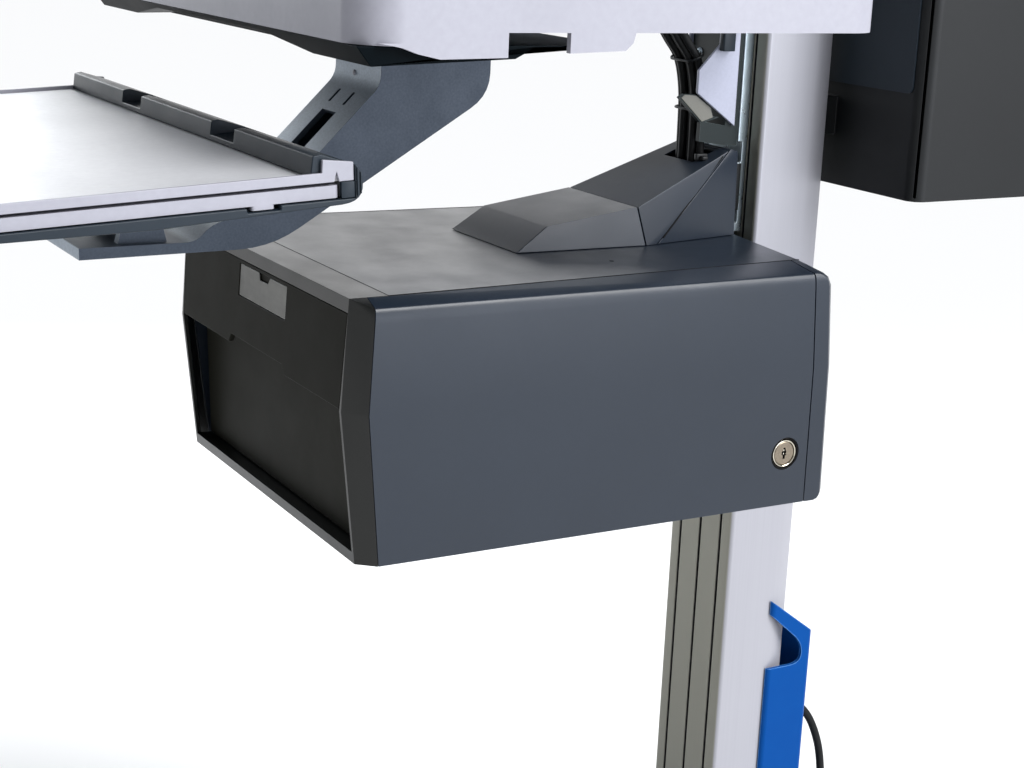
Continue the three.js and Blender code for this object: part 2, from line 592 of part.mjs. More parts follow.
function buildTray() {
  const t = TRAY;
  const m = MOUSE_TRAY;
  const tray = new THREE.Group();
  tray.position.set(0, t.rearY, t.rearZ);
  tray.rotation.x = THREE.MathUtils.degToRad(t.slopeDeg);
  upper.add(tray);
  const inX = t.halfWidth - t.endThickness - GAP;
  const front = -t.depth;

  const plate = join(
    prismZ(roundedRect(-inX, inX, front, -0.4, 2), -0.3, t.plateTop),
    prismX([[front, t.plateTop - 1], [front, 7], [front + 8, 9], [front + 10, t.plateTop - 1]], -inX, inX),
    box(-inX, -inX + 6, front, -2, -10, 0),
    box(-inX, inX, -7, -0.4, -10, 0),
    box(-inX, inX, front, front + 8, -10, 0),
    prismZ(roundedRect(-t.matHalfWidth, t.matHalfWidth, t.matFrontY, t.matRearY, 6), 0, t.matTop),
  );
  place(tray, "keyboard_tray", "trim", plate);

  const rimOutline = [[-26, t.plateTop + GAP], [-24, 15], [-19, 15.6], [-1, 9.5], [-1, t.plateTop + GAP]];
  let rim = prismX(rimOutline, -inX, inX);
  for (const side of [-1, 1]) {
    const [a, b] = side > 0 ? [t.notchX0, t.notchX1] : [-t.notchX1, -t.notchX0];
    rim = cut(rim, box(a, b, -40, 10, 6.5, 30));
  }
  place(tray, "tray_rear_rim", "slate", rim);

  const endOutline = [[front, -0.3], [front, 5.4], [-20, 5.4], [-19.4, 13], [-0.4, 10.4], [-0.4, -0.3],
    [-9.5, -0.3], [-11, 5.5], [-12.5, -0.3]];
  place(tray, "tray_end_plate_right", "trim", prismX(endOutline, t.halfWidth - t.endThickness, t.halfWidth));
  place(tray, "tray_end_plate_left", "trim", prismX(endOutline, -t.halfWidth, -t.halfWidth + t.endThickness));

  const under = new THREE.Shape();
  under.moveTo(0, 9.2);
  under.quadraticCurveTo(4.6, 6, 5, -2);
  under.quadraticCurveTo(5.6, -13, -8, -13.6);
  under.lineTo(-120, -17);
  under.lineTo(front + 6, -14);
  under.lineTo(front + 6, -10 - GAP);
  under.lineTo(0, -10 - GAP);
  const underPan = prismX(under, -t.halfWidth - 1, t.halfWidth + 1);
  place(tray, "tray_under_pan", "slate", cut(underPan, box(m.x1 - 8, 240, m.tabY - 10, m.tabY + 10, -13, -10)));

  const rest = prismX([[front + 12, t.plateTop + GAP], [front + 12, 10], [front + 20, 14], [front + 62, 13],
    [front + 72, t.plateTop + GAP]], -inX + 4, inX - 4);
  place(tray, "palm_rest", "rubber", rest);

  const mouse = join(
    prismZ(roundedRect(m.x0, m.x1, m.frontY, m.rearY, 4), m.z0 + GAP, m.z1),
    prismZ(roundedRect(m.x1 - 6, m.x1, m.tabY - 7, m.tabY + 7, 2), m.z0 - 2.2, m.z0 + 1),
  );
  place(tray, "mouse_tray", "trim", mouse);

  // The bracket hangs under the pan and turns on a pin through the arm's lugs.
  const block = join(
    hull(mirrored([[21, -150, 246.6], [21, -45, 251.4], [21, -114, 216], [21, -80, 216], [21, -95, 213]])),
    turnedX([[0, -33], [t.pinRadius, -33], [t.pinRadius, 33], [0, 33]], t.pivotY, t.pivotZ, 20),
  );
  place(upper, "tray_bracket", "black", block);
}

// ---------------------------------------------------------------- drawer housing

// The housing's cross-section on the +X side, from the bottom to the crest, shrunk by inset.
function housingSection(inset) {
  const h = HOUSING;
  const shoulder = new THREE.QuadraticBezierCurve(
    new THREE.Vector2(h.shoulderHalf, h.shoulderZ),
    new THREE.Vector2(h.shoulderHalf - 0.2, h.crestZ - 1.2),
    new THREE.Vector2(h.crestHalf, h.crestZ),
  );
  return [
    [h.bottomHalf - inset, 0],
    [h.creaseHalf - inset, h.creaseZ],
    ...shoulder.getPoints(4).map((p) => [p.x - inset, p.y - inset * 0.8]),
  ];
}

// How far back the front face stands at one height.
function frontY(z) {
  const h = HOUSING;
  return z > h.creaseZ
    ? THREE.MathUtils.mapLinear(z, h.creaseZ, h.height, h.creaseFrontY, h.topFrontY)
    : THREE.MathUtils.mapLinear(z, 0, h.creaseZ, h.bottomFrontY, h.creaseFrontY);
}

// How far back the rear face and the rear seam stand at one height.
const rearY = (z) => HOUSING.rearY - HOUSING.rearLean * z;
const rearSeamY = (z) => HOUSING.rearSeamY - HOUSING.rearSeamLean * z;

// How far the rear end of a side is rounded away, seen from the side.
function rearRounding(z) {
  const h = HOUSING;
  const above = Math.max(0, z - (h.crestZ - h.rearTopRound));
  const below = Math.max(0, h.rearBottomRound - z);
  return h.rearTopRound - Math.sqrt(Math.max(0, h.rearTopRound ** 2 - above ** 2))
    + h.rearBottomRound - Math.sqrt(Math.max(0, h.rearBottomRound ** 2 - below ** 2));
}

function housingSolid(inset, dropBottom) {
  const h = HOUSING;
  const points = [];
  for (const [x, z] of housingSection(inset)) {
    const low = z === 0 ? -dropBottom : z;
    points.push([x, frontY(z) + h.bevelDepth + inset * 0.6, low]);
    points.push([x, rearY(z) - h.rearRound - inset - rearRounding(z), low]);
  }
  for (const z of [1, 3, h.rearBottomRound])
    points.push([h.bottomHalf - inset, rearY(z) - h.rearRound - inset - rearRounding(z), z - dropBottom]);
  for (const z of [0, h.creaseZ, h.height]) {
    const level = z === 0 ? -dropBottom : Math.min(z, h.height - inset);
    points.push([h.bevelX - inset, frontY(z) + inset, level]);
    points.push([100, frontY(z) + inset, level]);
  }
  const top = h.height - inset;
  points.push([h.topFrontHalf - inset, h.bevelDepth, top]);
  points.push([h.topRearHalf - inset, rearY(h.height) - 2 * h.rearRound - inset, top]);
  const r = h.rearRound;
  for (let i = 0; i <= 3; i++) {
    const back = r * Math.sin((i / 3) * (Math.PI / 2)) - r - inset;
    const side = r * (1 - Math.cos((i / 3) * (Math.PI / 2)));
    const corners = [[0, h.bottomHalf], [3, h.bottomHalf], [h.rearBottomRound, h.bottomHalf],
      [h.creaseZ, h.creaseHalf], [h.crestZ - h.rearTopRound, h.shoulderHalf], [h.crestZ - 4, h.crestHalf + 1.4],
      [h.crestZ - 1, h.crestHalf], [h.crestZ, h.crestHalf - 2]];
    for (const [z, half] of corners) {
      const level = z < h.creaseZ ? z - dropBottom : z - inset;
      points.push([half - 2 - side - inset, rearY(z) + back - rearRounding(z), level]);
    }
    points.push([0, h.rearMidY + back, top - side], [0, h.rearMidY + back, side - dropBottom]);
  }
  return hull(mirrored(points));
}

// The X of the seam between the top cover and a side panel.
function seamX(y) {
  const h = HOUSING;
  return THREE.MathUtils.mapLinear(y, h.stripDepth, h.rearSeamY, h.topFrontHalf, h.topRearHalf);
}

function buildHousing() {
  const h = HOUSING;
  const g = GAP / 2;
  const o = OPENING;
  const hole = LOCK.holeRadius;
  const lockHole = turnedX([[0, 100], [hole, 100], [hole, 200], [0, 200]], LOCK.y, LOCK.z, 28);
  const opening = [[-o.halfWidth, o.bottomZ], [o.halfWidth, o.bottomZ], [o.halfWidth, h.creaseZ],
    [o.topHalfWidth, o.topZ], [-o.topHalfWidth, o.topZ], [-o.halfWidth, h.creaseZ]];
  const walls = cut(housingSolid(0, 0), housingSolid(h.wall, 5), prismY(opening, -20, 60));
  // The edge where the front bevel meets the side panels, as seen from the side.
  const bevelEdge = [[frontY(0) + h.bevelDepth, -1], [frontY(h.creaseZ) + h.bevelDepth, h.creaseZ],
    [frontY(h.height) + h.bevelDepth, h.height + 1]];
  const edge = (offset) => bevelEdge.map(([y, z]) => [y + offset, z]);
  const ahead = (offset) => prismX([...edge(offset), [-30, h.height + 1], [-30, -1]], -250, 250);
  // Above the bevel the side panel runs forward as far as the front face.
  const crestSlope = (h.height - h.crestZ) / (h.crestHalf - h.topFrontHalf);
  const crest = (offset) => {
    const z = h.height + offset;
    const low = z - (200 - h.topFrontHalf) * crestSlope;
    const outline = [[h.topFrontHalf, z], [200, low], [200, 200], [h.topFrontHalf, 200]];
    return prismY(outline, -30, h.bevelDepth + 2);
  };
  const crests = join(crest(g), crest(g).mirror([1, 0, 0]));
  const strip = box(-h.topFrontHalf + g, h.topFrontHalf - g, -30, h.stripDepth - g, 168, 200);
  const sill = box(-152, 152, -30, h.stripDepth - g, -5, 12);
  const bezel = walls.intersect(join(cut(ahead(-g), crests), strip, sill));
  const floor = box(-o.halfWidth - 2, o.halfWidth + 2, frontY(0) + 1, h.stripDepth - g, 0, o.bottomZ);
  place(upper, "front_bezel", "front", join(bezel, floor));

  const outerX = h.topFrontHalf + g;
  const sidePlan = [[outerX, -30], [200, -30], [200, 420], [seamX(420) + g, 420], [outerX, h.stripDepth]];
  const behind = (offset) => prismX([[rearSeamY(-5) + offset, -5], [420, -5], [420, 200],
    [rearSeamY(200) + offset, 200]], -250, 250);
  const panelRegion = cut(
    prismZ(sidePlan, -5, 200),
    cut(ahead(g), crest(2 * g)),
    behind(-g),
    join(box(0, 152 + g, -30, h.stripDepth + g, -6, 12 + g), box(0, 154, -30, 60, -6, 8.3)),
  );
  const panel = walls.intersect(panelRegion);
  place(upper, "side_panel_right", "housing", cut(panel, lockHole));
  place(upper, "side_panel_left", "housing", panel.mirror([1, 0, 0]));

  const topRegion = prismZ([[seamX(h.stripDepth) - g, h.stripDepth + g], [seamX(400) - g, 400],
    [-seamX(400) + g, 400], [-seamX(h.stripDepth) + g, h.stripDepth + g]], 160, 200);
  place(upper, "housing_shell", "housing", walls.intersect(join(topRegion, behind(h.rearSeamGap - g))));

  place(upper, "bottom_plate", "black", box(-151, 151, h.stripDepth + 2, 362, -2.2, -GAP));
}

function buildBridge() {
  const b = BRIDGE;
  const z0 = HOUSING.height + GAP;
  const g = b.seamGap / 2;
  const front = (inset, floor) => hull(mirrored([
    [b.frontHalf - inset, b.frontY + 2 * inset, floor], [b.baseHalf - inset, b.baseSeamY - g + inset * 4, floor],
    [b.ridgeHalf - inset, b.ridgeY + inset, b.ridgeZ - inset],
    [b.seamHalf - inset, b.seamY - g + inset * 4, b.seamZ - inset + inset * 0.6],
  ]));
  const rear = (inset, floor) => hull(mirrored([
    [b.baseHalf - inset, b.baseSeamY + g - inset * 4, floor], [b.rearBaseHalf - inset, b.rearY - inset, floor],
    [b.seamHalf - inset, b.seamY + g - inset * 4, b.seamZ - inset * 2.2],
    [b.rearHalf - inset, b.rearTopY - inset, b.rearZ - inset],
    [b.rearHalf - inset, b.rearY - inset, b.rearZ - 2 - inset],
  ]));
  place(upper, "bridge_front_cover", "housing", cut(front(0, z0), front(b.wall, z0 - 3)));
  const cableHole = box(-19.5, 19.5, 350.5, 370.5, 205, 260);
  const shell = cut(rear(0, z0), rear(b.wall, z0 - 3), cableHole);
  // A slanted seam parts the rear cover from the saddle that hooks on the rail.
  const behind = (offset) => prismX([[298 + offset, z0 - 2], [b.rearTopY + offset, b.rearZ + 1],
    [b.rearTopY + offset, 270], [420, 270], [420, z0 - 2]], -80, 80);
  const hooks = join(box(-25, -16, b.rearY - 4, 387.6, 198, 235), box(16, 25, b.rearY - 4, 387.6, 198, 235));
  place(upper, "bridge_rear_cover", "housing", cut(shell, behind(-g)));
  place(upper, "bridge_saddle", "housing", join(shell.intersect(behind(g)), hooks));
}

// ---------------------------------------------------------------- drawer, slides and lock

function buildDrawer() {
  const d = DRAWER;
  const lip = frontY(d.lipZ);
  const panelOutline = [
    [lip, d.lipZ], [frontY(d.panelTopZ), d.panelTopZ], [d.backY, d.panelTopZ], [d.backY, d.pullTopZ],
    [lip + d.lipThickness + 1, d.pullTopZ], [lip + d.lipThickness, d.lipZ],
  ];
  const notch = hull([
    [-50, -10, d.lipZ - 1], [54, -10, d.lipZ - 1], [-46, -10, 113], [50, -10, 113],
    [-50, 10, d.lipZ - 1], [54, 10, d.lipZ - 1], [-46, 10, 113], [50, 10, 113],
  ]);
  const labelRecess = box(LABEL.x0, LABEL.x1, -10, frontY(LABEL.z0) + LABEL.depth, LABEL.z0, LABEL.z1);
  const sides = [[-d.halfWidth, d.lipZ - 1], [d.halfWidth, d.lipZ - 1], [d.topHalfWidth, d.panelTopZ + 1],
    [-d.topHalfWidth, d.panelTopZ + 1]];
  const panel = prismX(panelOutline, -d.topHalfWidth, d.topHalfWidth).intersect(prismY(sides, -20, 60));
  place(upper, "drawer_front", "front", cut(panel, notch, labelRecess));

  const slant = (z) => THREE.MathUtils.mapLinear(z, 8, 106, d.lowerPanelBottomY, d.lowerPanelTopY);
  place(upper, "drawer_lower_panel", "front", prismX([
    [slant(8.8), 8.8], [slant(106), 106], [d.lowerPanelTopY, d.panelTopZ], [d.lowerPanelTopY + 3, d.panelTopZ],
    [d.boxFrontY - GAP, 100], [d.boxFrontY - GAP, 8.8],
  ], -d.halfWidth, d.halfWidth));

  const thumb = hull([[-4, -10, 175], [25, -10, 175], [1, -10, 162], [16, -10, 162],
    [-4, 10, 175], [25, 10, 175], [1, 10, 162], [16, 10, 162]]);
  const y = frontY(LABEL.z0);
  const label = prismX([[y + 0.5, LABEL.z0 + GAP], [frontY(LABEL.z1) + 0.5, LABEL.z1 - GAP],
    [y + LABEL.depth - GAP, LABEL.z1 - GAP], [y + LABEL.depth - GAP, LABEL.z0 + GAP]],
  LABEL.x0 + GAP, LABEL.x1 - GAP);
  place(upper, "label_holder", "frosted", cut(label, thumb));

  const w = d.wall;
  const tub = cut(
    box(-d.boxHalfWidth, d.boxHalfWidth, d.boxFrontY, d.boxRearY, d.boxBottomZ, d.boxTopZ),
    box(-d.boxHalfWidth + w, d.boxHalfWidth - w, d.boxFrontY + w, d.boxRearY - w, d.boxBottomZ + w, d.boxTopZ + 1),
  );
  const catchBar = join(
    box(d.boxHalfWidth - w, d.boxHalfWidth + 3, d.boxRearY - 12, LOCK.y + 14, 18, 30),
    box(d.boxHalfWidth - w, d.boxHalfWidth + 8, LOCK.y + 9, LOCK.y + 14, 18, 30),
  );
  place(upper, "drawer_box", "black", join(tub, catchBar));

  const s = SLIDE;
  const channel = [[s.innerX, s.z0], [s.outerX, s.z0], [s.outerX, s.z1], [s.innerX, s.z1],
    [s.innerX, s.z1 - 1.5], [s.outerX - 1.5, s.z1 - 1.5], [s.outerX - 1.5, s.z0 + 1.5], [s.innerX, s.z0 + 1.5]];
  const runner = [[d.boxHalfWidth + GAP, s.z0 + 3], [s.runnerX, s.z0 + 3], [s.runnerX, s.z1 - 3],
    [d.boxHalfWidth + GAP, s.z1 - 3]];
  const channelBody = prismY(channel, s.frontY, s.rearY);
  const runnerBody = prismY(runner, s.frontY - 4, s.rearY - 10);
  place(upper, "drawer_slide_right", "zinc", channelBody);
  place(upper, "drawer_slide_left", "zinc", channelBody.mirror([1, 0, 0]));
  place(upper, "drawer_runner_right", "zinc", runnerBody);
  place(upper, "drawer_runner_left", "zinc", runnerBody.mirror([1, 0, 0]));
}

function buildLock() {
  const k = LOCK;
  const stem = k.stemRadius;
  const bore = stem + 0.3;
  const socket = k.faceRadius + 0.3;
  const barrel = turnedX([
    [bore, 152.4], [8.5, 152.4], [8.5, 155.8], [k.flangeRadius, 155.8], [k.flangeRadius, 158.3],
    [k.rimRadius, 158.3], [k.rimRadius, k.faceX - 0.2], [k.rimRadius - 0.6, k.faceX + 0.4],
    [socket, k.faceX + 0.4], [socket, k.faceX - 2.4], [bore, k.faceX - 2.4], [bore, 152.4],
  ], k.y, k.z, 24);
  place(upper, "lock_barrel", "nickel", barrel);
  const face = turnedX([
    [0, k.camX], [stem, k.camX], [stem, k.faceX - 2.1], [k.faceRadius, k.faceX - 2.1],
    [k.faceRadius, k.faceX - 0.4], [k.faceRadius - 0.8, k.faceX], [0, k.faceX],
  ], k.y, k.z, 24);
  const cam = prismX([[k.y + 6, k.z - 5], [k.y + 6, k.z + 5], [k.y - k.camReach, k.z + 4],
    [k.y - k.camReach, k.z - 4]], k.camX, k.camX + 2.8);
  const keyway = join(
    box(156, 170, k.y - 1, k.y + 1, k.z - 4.4, k.z + 4.4),
    box(156, 170, k.y - 2.4, k.y + 1, k.z - 1, k.z + 1),
  );
  place(upper, "lock_cylinder", "nickel", cut(join(face, cam), keyway));
}

buildColumn();
buildGasSpring();
buildBase();
buildCasters();
buildCompartment();
buildHolder();
buildLead();
buildRailAndCarriage();
buildCableBundle();
buildWorksurface();
buildArm();
buildTray();
buildHousing();
buildBridge();
buildDrawer();
buildLock();

export default cart;
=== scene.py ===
"""The medication cart's looks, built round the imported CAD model. Metres, +Z up, the user stands at -Y."""

import json
import math
from itertools import product

import bmesh
import bpy
from mathutils import Matrix, Vector


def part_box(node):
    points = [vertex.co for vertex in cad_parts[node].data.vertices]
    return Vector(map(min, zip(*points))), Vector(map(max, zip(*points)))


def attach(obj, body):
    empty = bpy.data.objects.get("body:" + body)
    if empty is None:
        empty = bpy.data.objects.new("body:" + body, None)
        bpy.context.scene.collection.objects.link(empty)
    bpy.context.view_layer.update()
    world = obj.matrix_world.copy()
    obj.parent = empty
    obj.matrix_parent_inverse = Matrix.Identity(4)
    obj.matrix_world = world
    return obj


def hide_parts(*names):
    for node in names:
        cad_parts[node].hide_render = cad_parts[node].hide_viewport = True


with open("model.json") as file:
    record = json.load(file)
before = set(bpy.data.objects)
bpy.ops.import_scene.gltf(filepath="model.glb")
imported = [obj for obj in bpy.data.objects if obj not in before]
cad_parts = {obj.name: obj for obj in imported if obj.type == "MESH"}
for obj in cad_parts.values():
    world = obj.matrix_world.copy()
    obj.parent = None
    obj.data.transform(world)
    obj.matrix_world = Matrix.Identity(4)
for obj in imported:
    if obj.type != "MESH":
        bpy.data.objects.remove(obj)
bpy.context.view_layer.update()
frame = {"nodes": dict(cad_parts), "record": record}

MM = 0.001
NODES = frame["nodes"]
TAU = 2 * math.pi


def low(node):
    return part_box(node)[0]


def high(node):
    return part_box(node)[1]


def middle(node):
    lo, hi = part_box(node)
    return (lo + hi) / 2


HOUSING_CORNER = Vector((0, -155, 590)) * MM  # the drawer housing's top front edge and its bottom


def on_lift(x, y, z):
    """A place on the lift, in millimetres from the drawer housing's front edge and bottom."""
    return HOUSING_CORNER + Vector((x, y, z)) * MM


# ---------------------------------------------------------------- camera, floor and light

CAMERA_AT = Vector((1.1826, -0.6300, 1.0201))
CAMERA_YAW = math.radians(59.98)  # to the left of +Y
CAMERA_PITCH = math.radians(14.91)  # downwards
CAMERA_ROLL = math.radians(2.45)
LENS_MM = 64.34


def make_camera():
    data = bpy.data.cameras.new("camera")
    data.lens = LENS_MM
    data.sensor_width = 36
    camera = bpy.data.objects.new("camera", data)
    bpy.context.scene.collection.objects.link(camera)
    ahead = Vector((
        -math.sin(CAMERA_YAW) * math.cos(CAMERA_PITCH),
        math.cos(CAMERA_YAW) * math.cos(CAMERA_PITCH),
        -math.sin(CAMERA_PITCH),
    ))
    level = Vector((math.cos(CAMERA_YAW), math.sin(CAMERA_YAW), 0))
    up = level.cross(ahead)
    right = level * math.cos(CAMERA_ROLL) + up * math.sin(CAMERA_ROLL)
    up = up * math.cos(CAMERA_ROLL) - level * math.sin(CAMERA_ROLL)
    camera.matrix_world = Matrix((
        (right.x, up.x, -ahead.x, CAMERA_AT.x),
        (right.y, up.y, -ahead.y, CAMERA_AT.y),
        (right.z, up.z, -ahead.z, CAMERA_AT.z),
        (0, 0, 0, 1),
    ))
    bpy.context.scene.camera = camera


def area_light(name, at, towards, width, height, watts, color):
    data = bpy.data.lights.new(name, "AREA")
    data.shape = "RECTANGLE"
    data.size = width
    data.size_y = height
    data.energy = watts
    data.color = color
    light = bpy.data.objects.new(name, data)
    bpy.context.scene.collection.objects.link(light)
    light.location = at
    light.rotation_mode = "QUATERNION"
    light.rotation_quaternion = (Vector(towards) - Vector(at)).to_track_quat("-Z", "Y")


WORLD_COLOR = (0.90, 0.94, 1.0, 1)
WORLD_STRENGTH = 0.24
FLOOR_REACH = 60
FLOOR_WHITE = 0.93
SUN_STRENGTH = 4.0
SUN_SPREAD = math.radians(35)
SUN_DIRECTION = Vector((-0.75, -0.45, -0.8))
# Each panel's name, place, aim, width, height, watts and colour.
PANELS = [
    ("back_panel", (-2.6, 1.05, 1.25), (0, 0, 0.8), 2.2, 1.3, 13, (1, 1, 1)),
    ("left_panel", (-2.2, -0.25, 1.2), (0, -0.1, 0.88), 1.0, 0.8, 18, (0.93, 0.97, 1.0)),
    ("right_panel", (2.5, 1.05, 0.66), (0.16, 0, 0.72), 1.2, 0.9, 13, (0.86, 0.91, 1.0)),
    ("upper_column", (1.3, 0.95, 1.2), (0.04, 0.28, 0.88), 0.5, 0.4, 7, (0.95, 0.96, 1.0)),
]


def make_world():
    world = bpy.data.worlds.new("studio")
    world.use_nodes = True
    background = world.node_tree.nodes["Background"]
    background.inputs["Color"].default_value = WORLD_COLOR
    background.inputs["Strength"].default_value = WORLD_STRENGTH
    bpy.context.scene.world = world


def make_floor():
    mesh = bpy.data.meshes.new("floor")
    corners = [(x * FLOOR_REACH, y * FLOOR_REACH, 0) for x, y in ((-1, -1), (1, -1), (1, 1), (-1, 1))]
    mesh.from_pydata(corners, [], [(0, 1, 2, 3)])
    floor = bpy.data.objects.new("floor", mesh)
    bpy.context.scene.collection.objects.link(floor)
    pale = bpy.data.materials.new("floor_white")
    pale.use_nodes = True
    shader = pale.node_tree.nodes["Principled BSDF"]
    shader.inputs["Base Color"].default_value = (FLOOR_WHITE, FLOOR_WHITE, FLOOR_WHITE, 1)
    shader.inputs["Roughness"].default_value = 0.9
    floor.data.materials.append(pale)


def make_sun():
    sun = bpy.data.lights.new("soft_sun", "SUN")
    sun.energy = SUN_STRENGTH
    sun.angle = SUN_SPREAD
    holder = bpy.data.objects.new("soft_sun", sun)
    bpy.context.scene.collection.objects.link(holder)
    holder.rotation_mode = "QUATERNION"
    holder.rotation_quaternion = SUN_DIRECTION.to_track_quat("-Z", "Y")


def make_stage():
    make_world()
    make_floor()
    make_sun()
    for panel in PANELS:
        area_light(*panel)
    bpy.context.scene.view_settings.view_transform = "Standard"


# ---------------------------------------------------------------- materials

def linear(r, g, b):
    """An sRGB colour, 0 to 255 each, as linear RGB."""
    return tuple(
        (c / 255 / 12.92) if c / 255 <= 0.04045 else ((c / 255 + 0.055) / 1.055) ** 2.4
        for c in (r, g, b)
    )


class Finish:
    """One procedural material. Each method adds a layer of detail to it."""

    def __init__(self, name, color, roughness, metallic=0.0, **sockets):
        self.material = bpy.data.materials.new(name)
        self.material.use_nodes = True
        self.tree = self.material.node_tree
        self.shader = self.tree.nodes["Principled BSDF"]
        self.color = linear(*color)
        self.roughness = roughness
        self.shader.inputs["Base Color"].default_value = (*self.color, 1)
        self.shader.inputs["Roughness"].default_value = roughness
        self.shader.inputs["Metallic"].default_value = metallic
        for socket, value in sockets.items():
            self.shader.inputs[socket.replace("_", " ")].default_value = value
        self.place = self.add("TexCoord").outputs["Object"]
        self.color_out = None
        self.normal_out = None

    def add(self, kind, settings=None, **inputs):
        node = self.tree.nodes.new("ShaderNode" + kind)
        for name, value in (settings or {}).items():
            setattr(node, name, value)
        for name, value in inputs.items():
            socket = node.inputs[name.replace("_", " ")]
            if isinstance(value, bpy.types.NodeSocket):
                self.tree.links.new(value, socket)
            else:
                socket.default_value = value
        return node

    def where(self, stretch):
        """Object coordinates, squeezed along each axis by stretch."""
        return self.add("Mapping", Vector=self.place, Scale=stretch).outputs["Vector"]

    def noise(self, size, detail=3.0, stretch=(1, 1, 1), rough=0.55):
        """Smooth noise from 0 to 1 whose blobs are about size metres across."""
        node = self.add(
            "TexNoise", Vector=self.where(stretch), Scale=1 / size, Detail=detail, Roughness=rough)
        return node.outputs["Fac"]

    def cells(self, size):
        node = self.add("TexVoronoi", Vector=self.place, Scale=1 / size)
        return node.outputs["Distance"]

    def spread(self, source, to_low, to_high, from_low=0.3, from_high=0.7):
        """Stretches a value that runs between the from limits to run between the to limits."""
        node = self.add("MapRange", Value=source)
        limits = {"From Min": from_low, "From Max": from_high, "To Min": to_low, "To Max": to_high}
        for name, value in limits.items():
            node.inputs[name].default_value = value
        return node.outputs["Result"]

    def beyond(self, axis, start, end):
        """From 0 at start to 1 at end, along one axis of the object."""
        split = self.add("SeparateXYZ", Vector=self.place)
        return self.spread(split.outputs[axis], 0, 1, start, end)

    def tint(self, factor, color):
        """Mixes another colour in where factor is 1."""
        node = self.add("Mix", {"data_type": "RGBA"})
        self.tree.links.new(factor, node.inputs["Factor"])
        base, other = node.inputs[6], node.inputs[7]
        if self.color_out is None:
            base.default_value = (*self.color, 1)
        else:
            self.tree.links.new(self.color_out, base)
        other.default_value = (*linear(*color), 1)
        self.color_out = node.outputs[2]
        self.tree.links.new(self.color_out, self.shader.inputs["Base Color"])
        return self

    def mottle(self, size, color, amount, detail=4.0, stretch=(1, 1, 1)):
        """Soft patches of another colour."""
        return self.tint(self.spread(self.noise(size, detail, stretch), 0, amount), color)

    def gloss(self, size, change, detail=4.0, stretch=(1, 1, 1)):
        """Roughness that wanders either side of the set value."""
        value = self.spread(
            self.noise(size, detail, stretch), self.roughness - change, self.roughness + change)
        self.tree.links.new(value, self.shader.inputs["Roughness"])
        return self

    def relief(self, source, depth, strength=1.0):
        """A bump of depth metres from a 0 to 1 source."""
        node = self.add("Bump", Height=source, Distance=depth, Strength=strength)
        if self.normal_out is not None:
            self.tree.links.new(self.normal_out, node.inputs["Normal"])
        self.normal_out = node.outputs["Normal"]
        self.tree.links.new(self.normal_out, self.shader.inputs["Normal"])
        return self

    def grain(self, size, depth, detail=2.0):
        return self.relief(self.noise(size, detail), depth)

    def edge_wear_and_glint(self, radius, color, amount):
        """Lightens convex and concave edges, broken up by noise: edge wear, and on the zinc and the blue
        plastic a painted highlight along the edges.
        """
        soft = self.add("Bevel", {"samples": 4}, Radius=radius).outputs["Normal"]
        plain = self.add("NewGeometry").outputs["Normal"]
        same = self.add("VectorMath", {"operation": "DOT_PRODUCT"})
        self.tree.links.new(soft, same.inputs[0])
        self.tree.links.new(plain, same.inputs[1])
        edge = self.spread(same.outputs["Value"], amount, 0, 0.86, 0.995)
        broken = self.add("Math", {"operation": "MULTIPLY"})
        self.tree.links.new(edge, broken.inputs[0])
        self.tree.links.new(self.spread(self.noise(9 * MM, 4), 0.35, 1.0), broken.inputs[1])
        return self.tint(broken.outputs["Value"], color)


def moulded(name, color, roughness, worn, grain=0.55 * MM, depth=0.018 * MM, **sockets):
    """Spark-eroded moulded plastic: fine grain, faint flow marks, handled edges."""
    finish = Finish(name, color, roughness, **sockets)
    finish.mottle(120 * MM, tuple(min(255, round(c * 1.08 + 3)) for c in color), 0.5)
    finish.mottle(5 * MM, tuple(round(c * 0.93) for c in color), 0.3, 5)
    finish.gloss(40 * MM, 0.035)
    finish.grain(grain, depth)
    finish.edge_wear_and_glint(0.8 * MM, worn, 0.2)
    return finish.material


def powder_coat(name, color, roughness, worn, **sockets):
    """Powder coat: orange peel with fine speckle."""
    finish = Finish(name, color, roughness, **sockets)
    finish.mottle(1.6 * MM, tuple(min(255, round(c * 1.08 + 4)) for c in color), 0.35, 5)
    finish.gloss(25 * MM, 0.04)
    finish.relief(finish.cells(1.3 * MM), 0.014 * MM)
    finish.grain(0.4 * MM, 0.010 * MM)
    finish.edge_wear_and_glint(0.8 * MM, worn, 0.5)
    return finish.material


def arm_paint():
    """Slate powder coat, with a painted sheen: the sloping front, which faces forward and up, is painted
    lighter as if it caught the light.
    """
    finish = Finish("arm_paint", (54, 64, 78), 0.5, 0.3)
    # Painted sheen: faces that turn forward and up are tinted lighter, standing for the light they catch.
    facing = finish.add("VectorMath", {"operation": "DOT_PRODUCT"})
    finish.tree.links.new(finish.add("TexCoord").outputs["Normal"], facing.inputs[0])
    facing.inputs[1].default_value = (0, -0.8, 0.6)
    finish.tint(finish.spread(facing.outputs["Value"], 0, 1, 0.5, 0.8), (168, 180, 193))
    finish.mottle(1.6 * MM, (84, 94, 106), 0.35, 5)
    finish.gloss(25 * MM, 0.04)
    finish.relief(finish.cells(1.3 * MM), 0.014 * MM)
    finish.grain(0.4 * MM, 0.010 * MM)
    finish.edge_wear_and_glint(0.8 * MM, (120, 128, 142), 0.4)
    return finish.material


GROOVE_STEP = 28 * MM
GROOVE_HALF_WIDTH = 1.85 * MM
GROOVE_DEPTH = 13.5 * MM


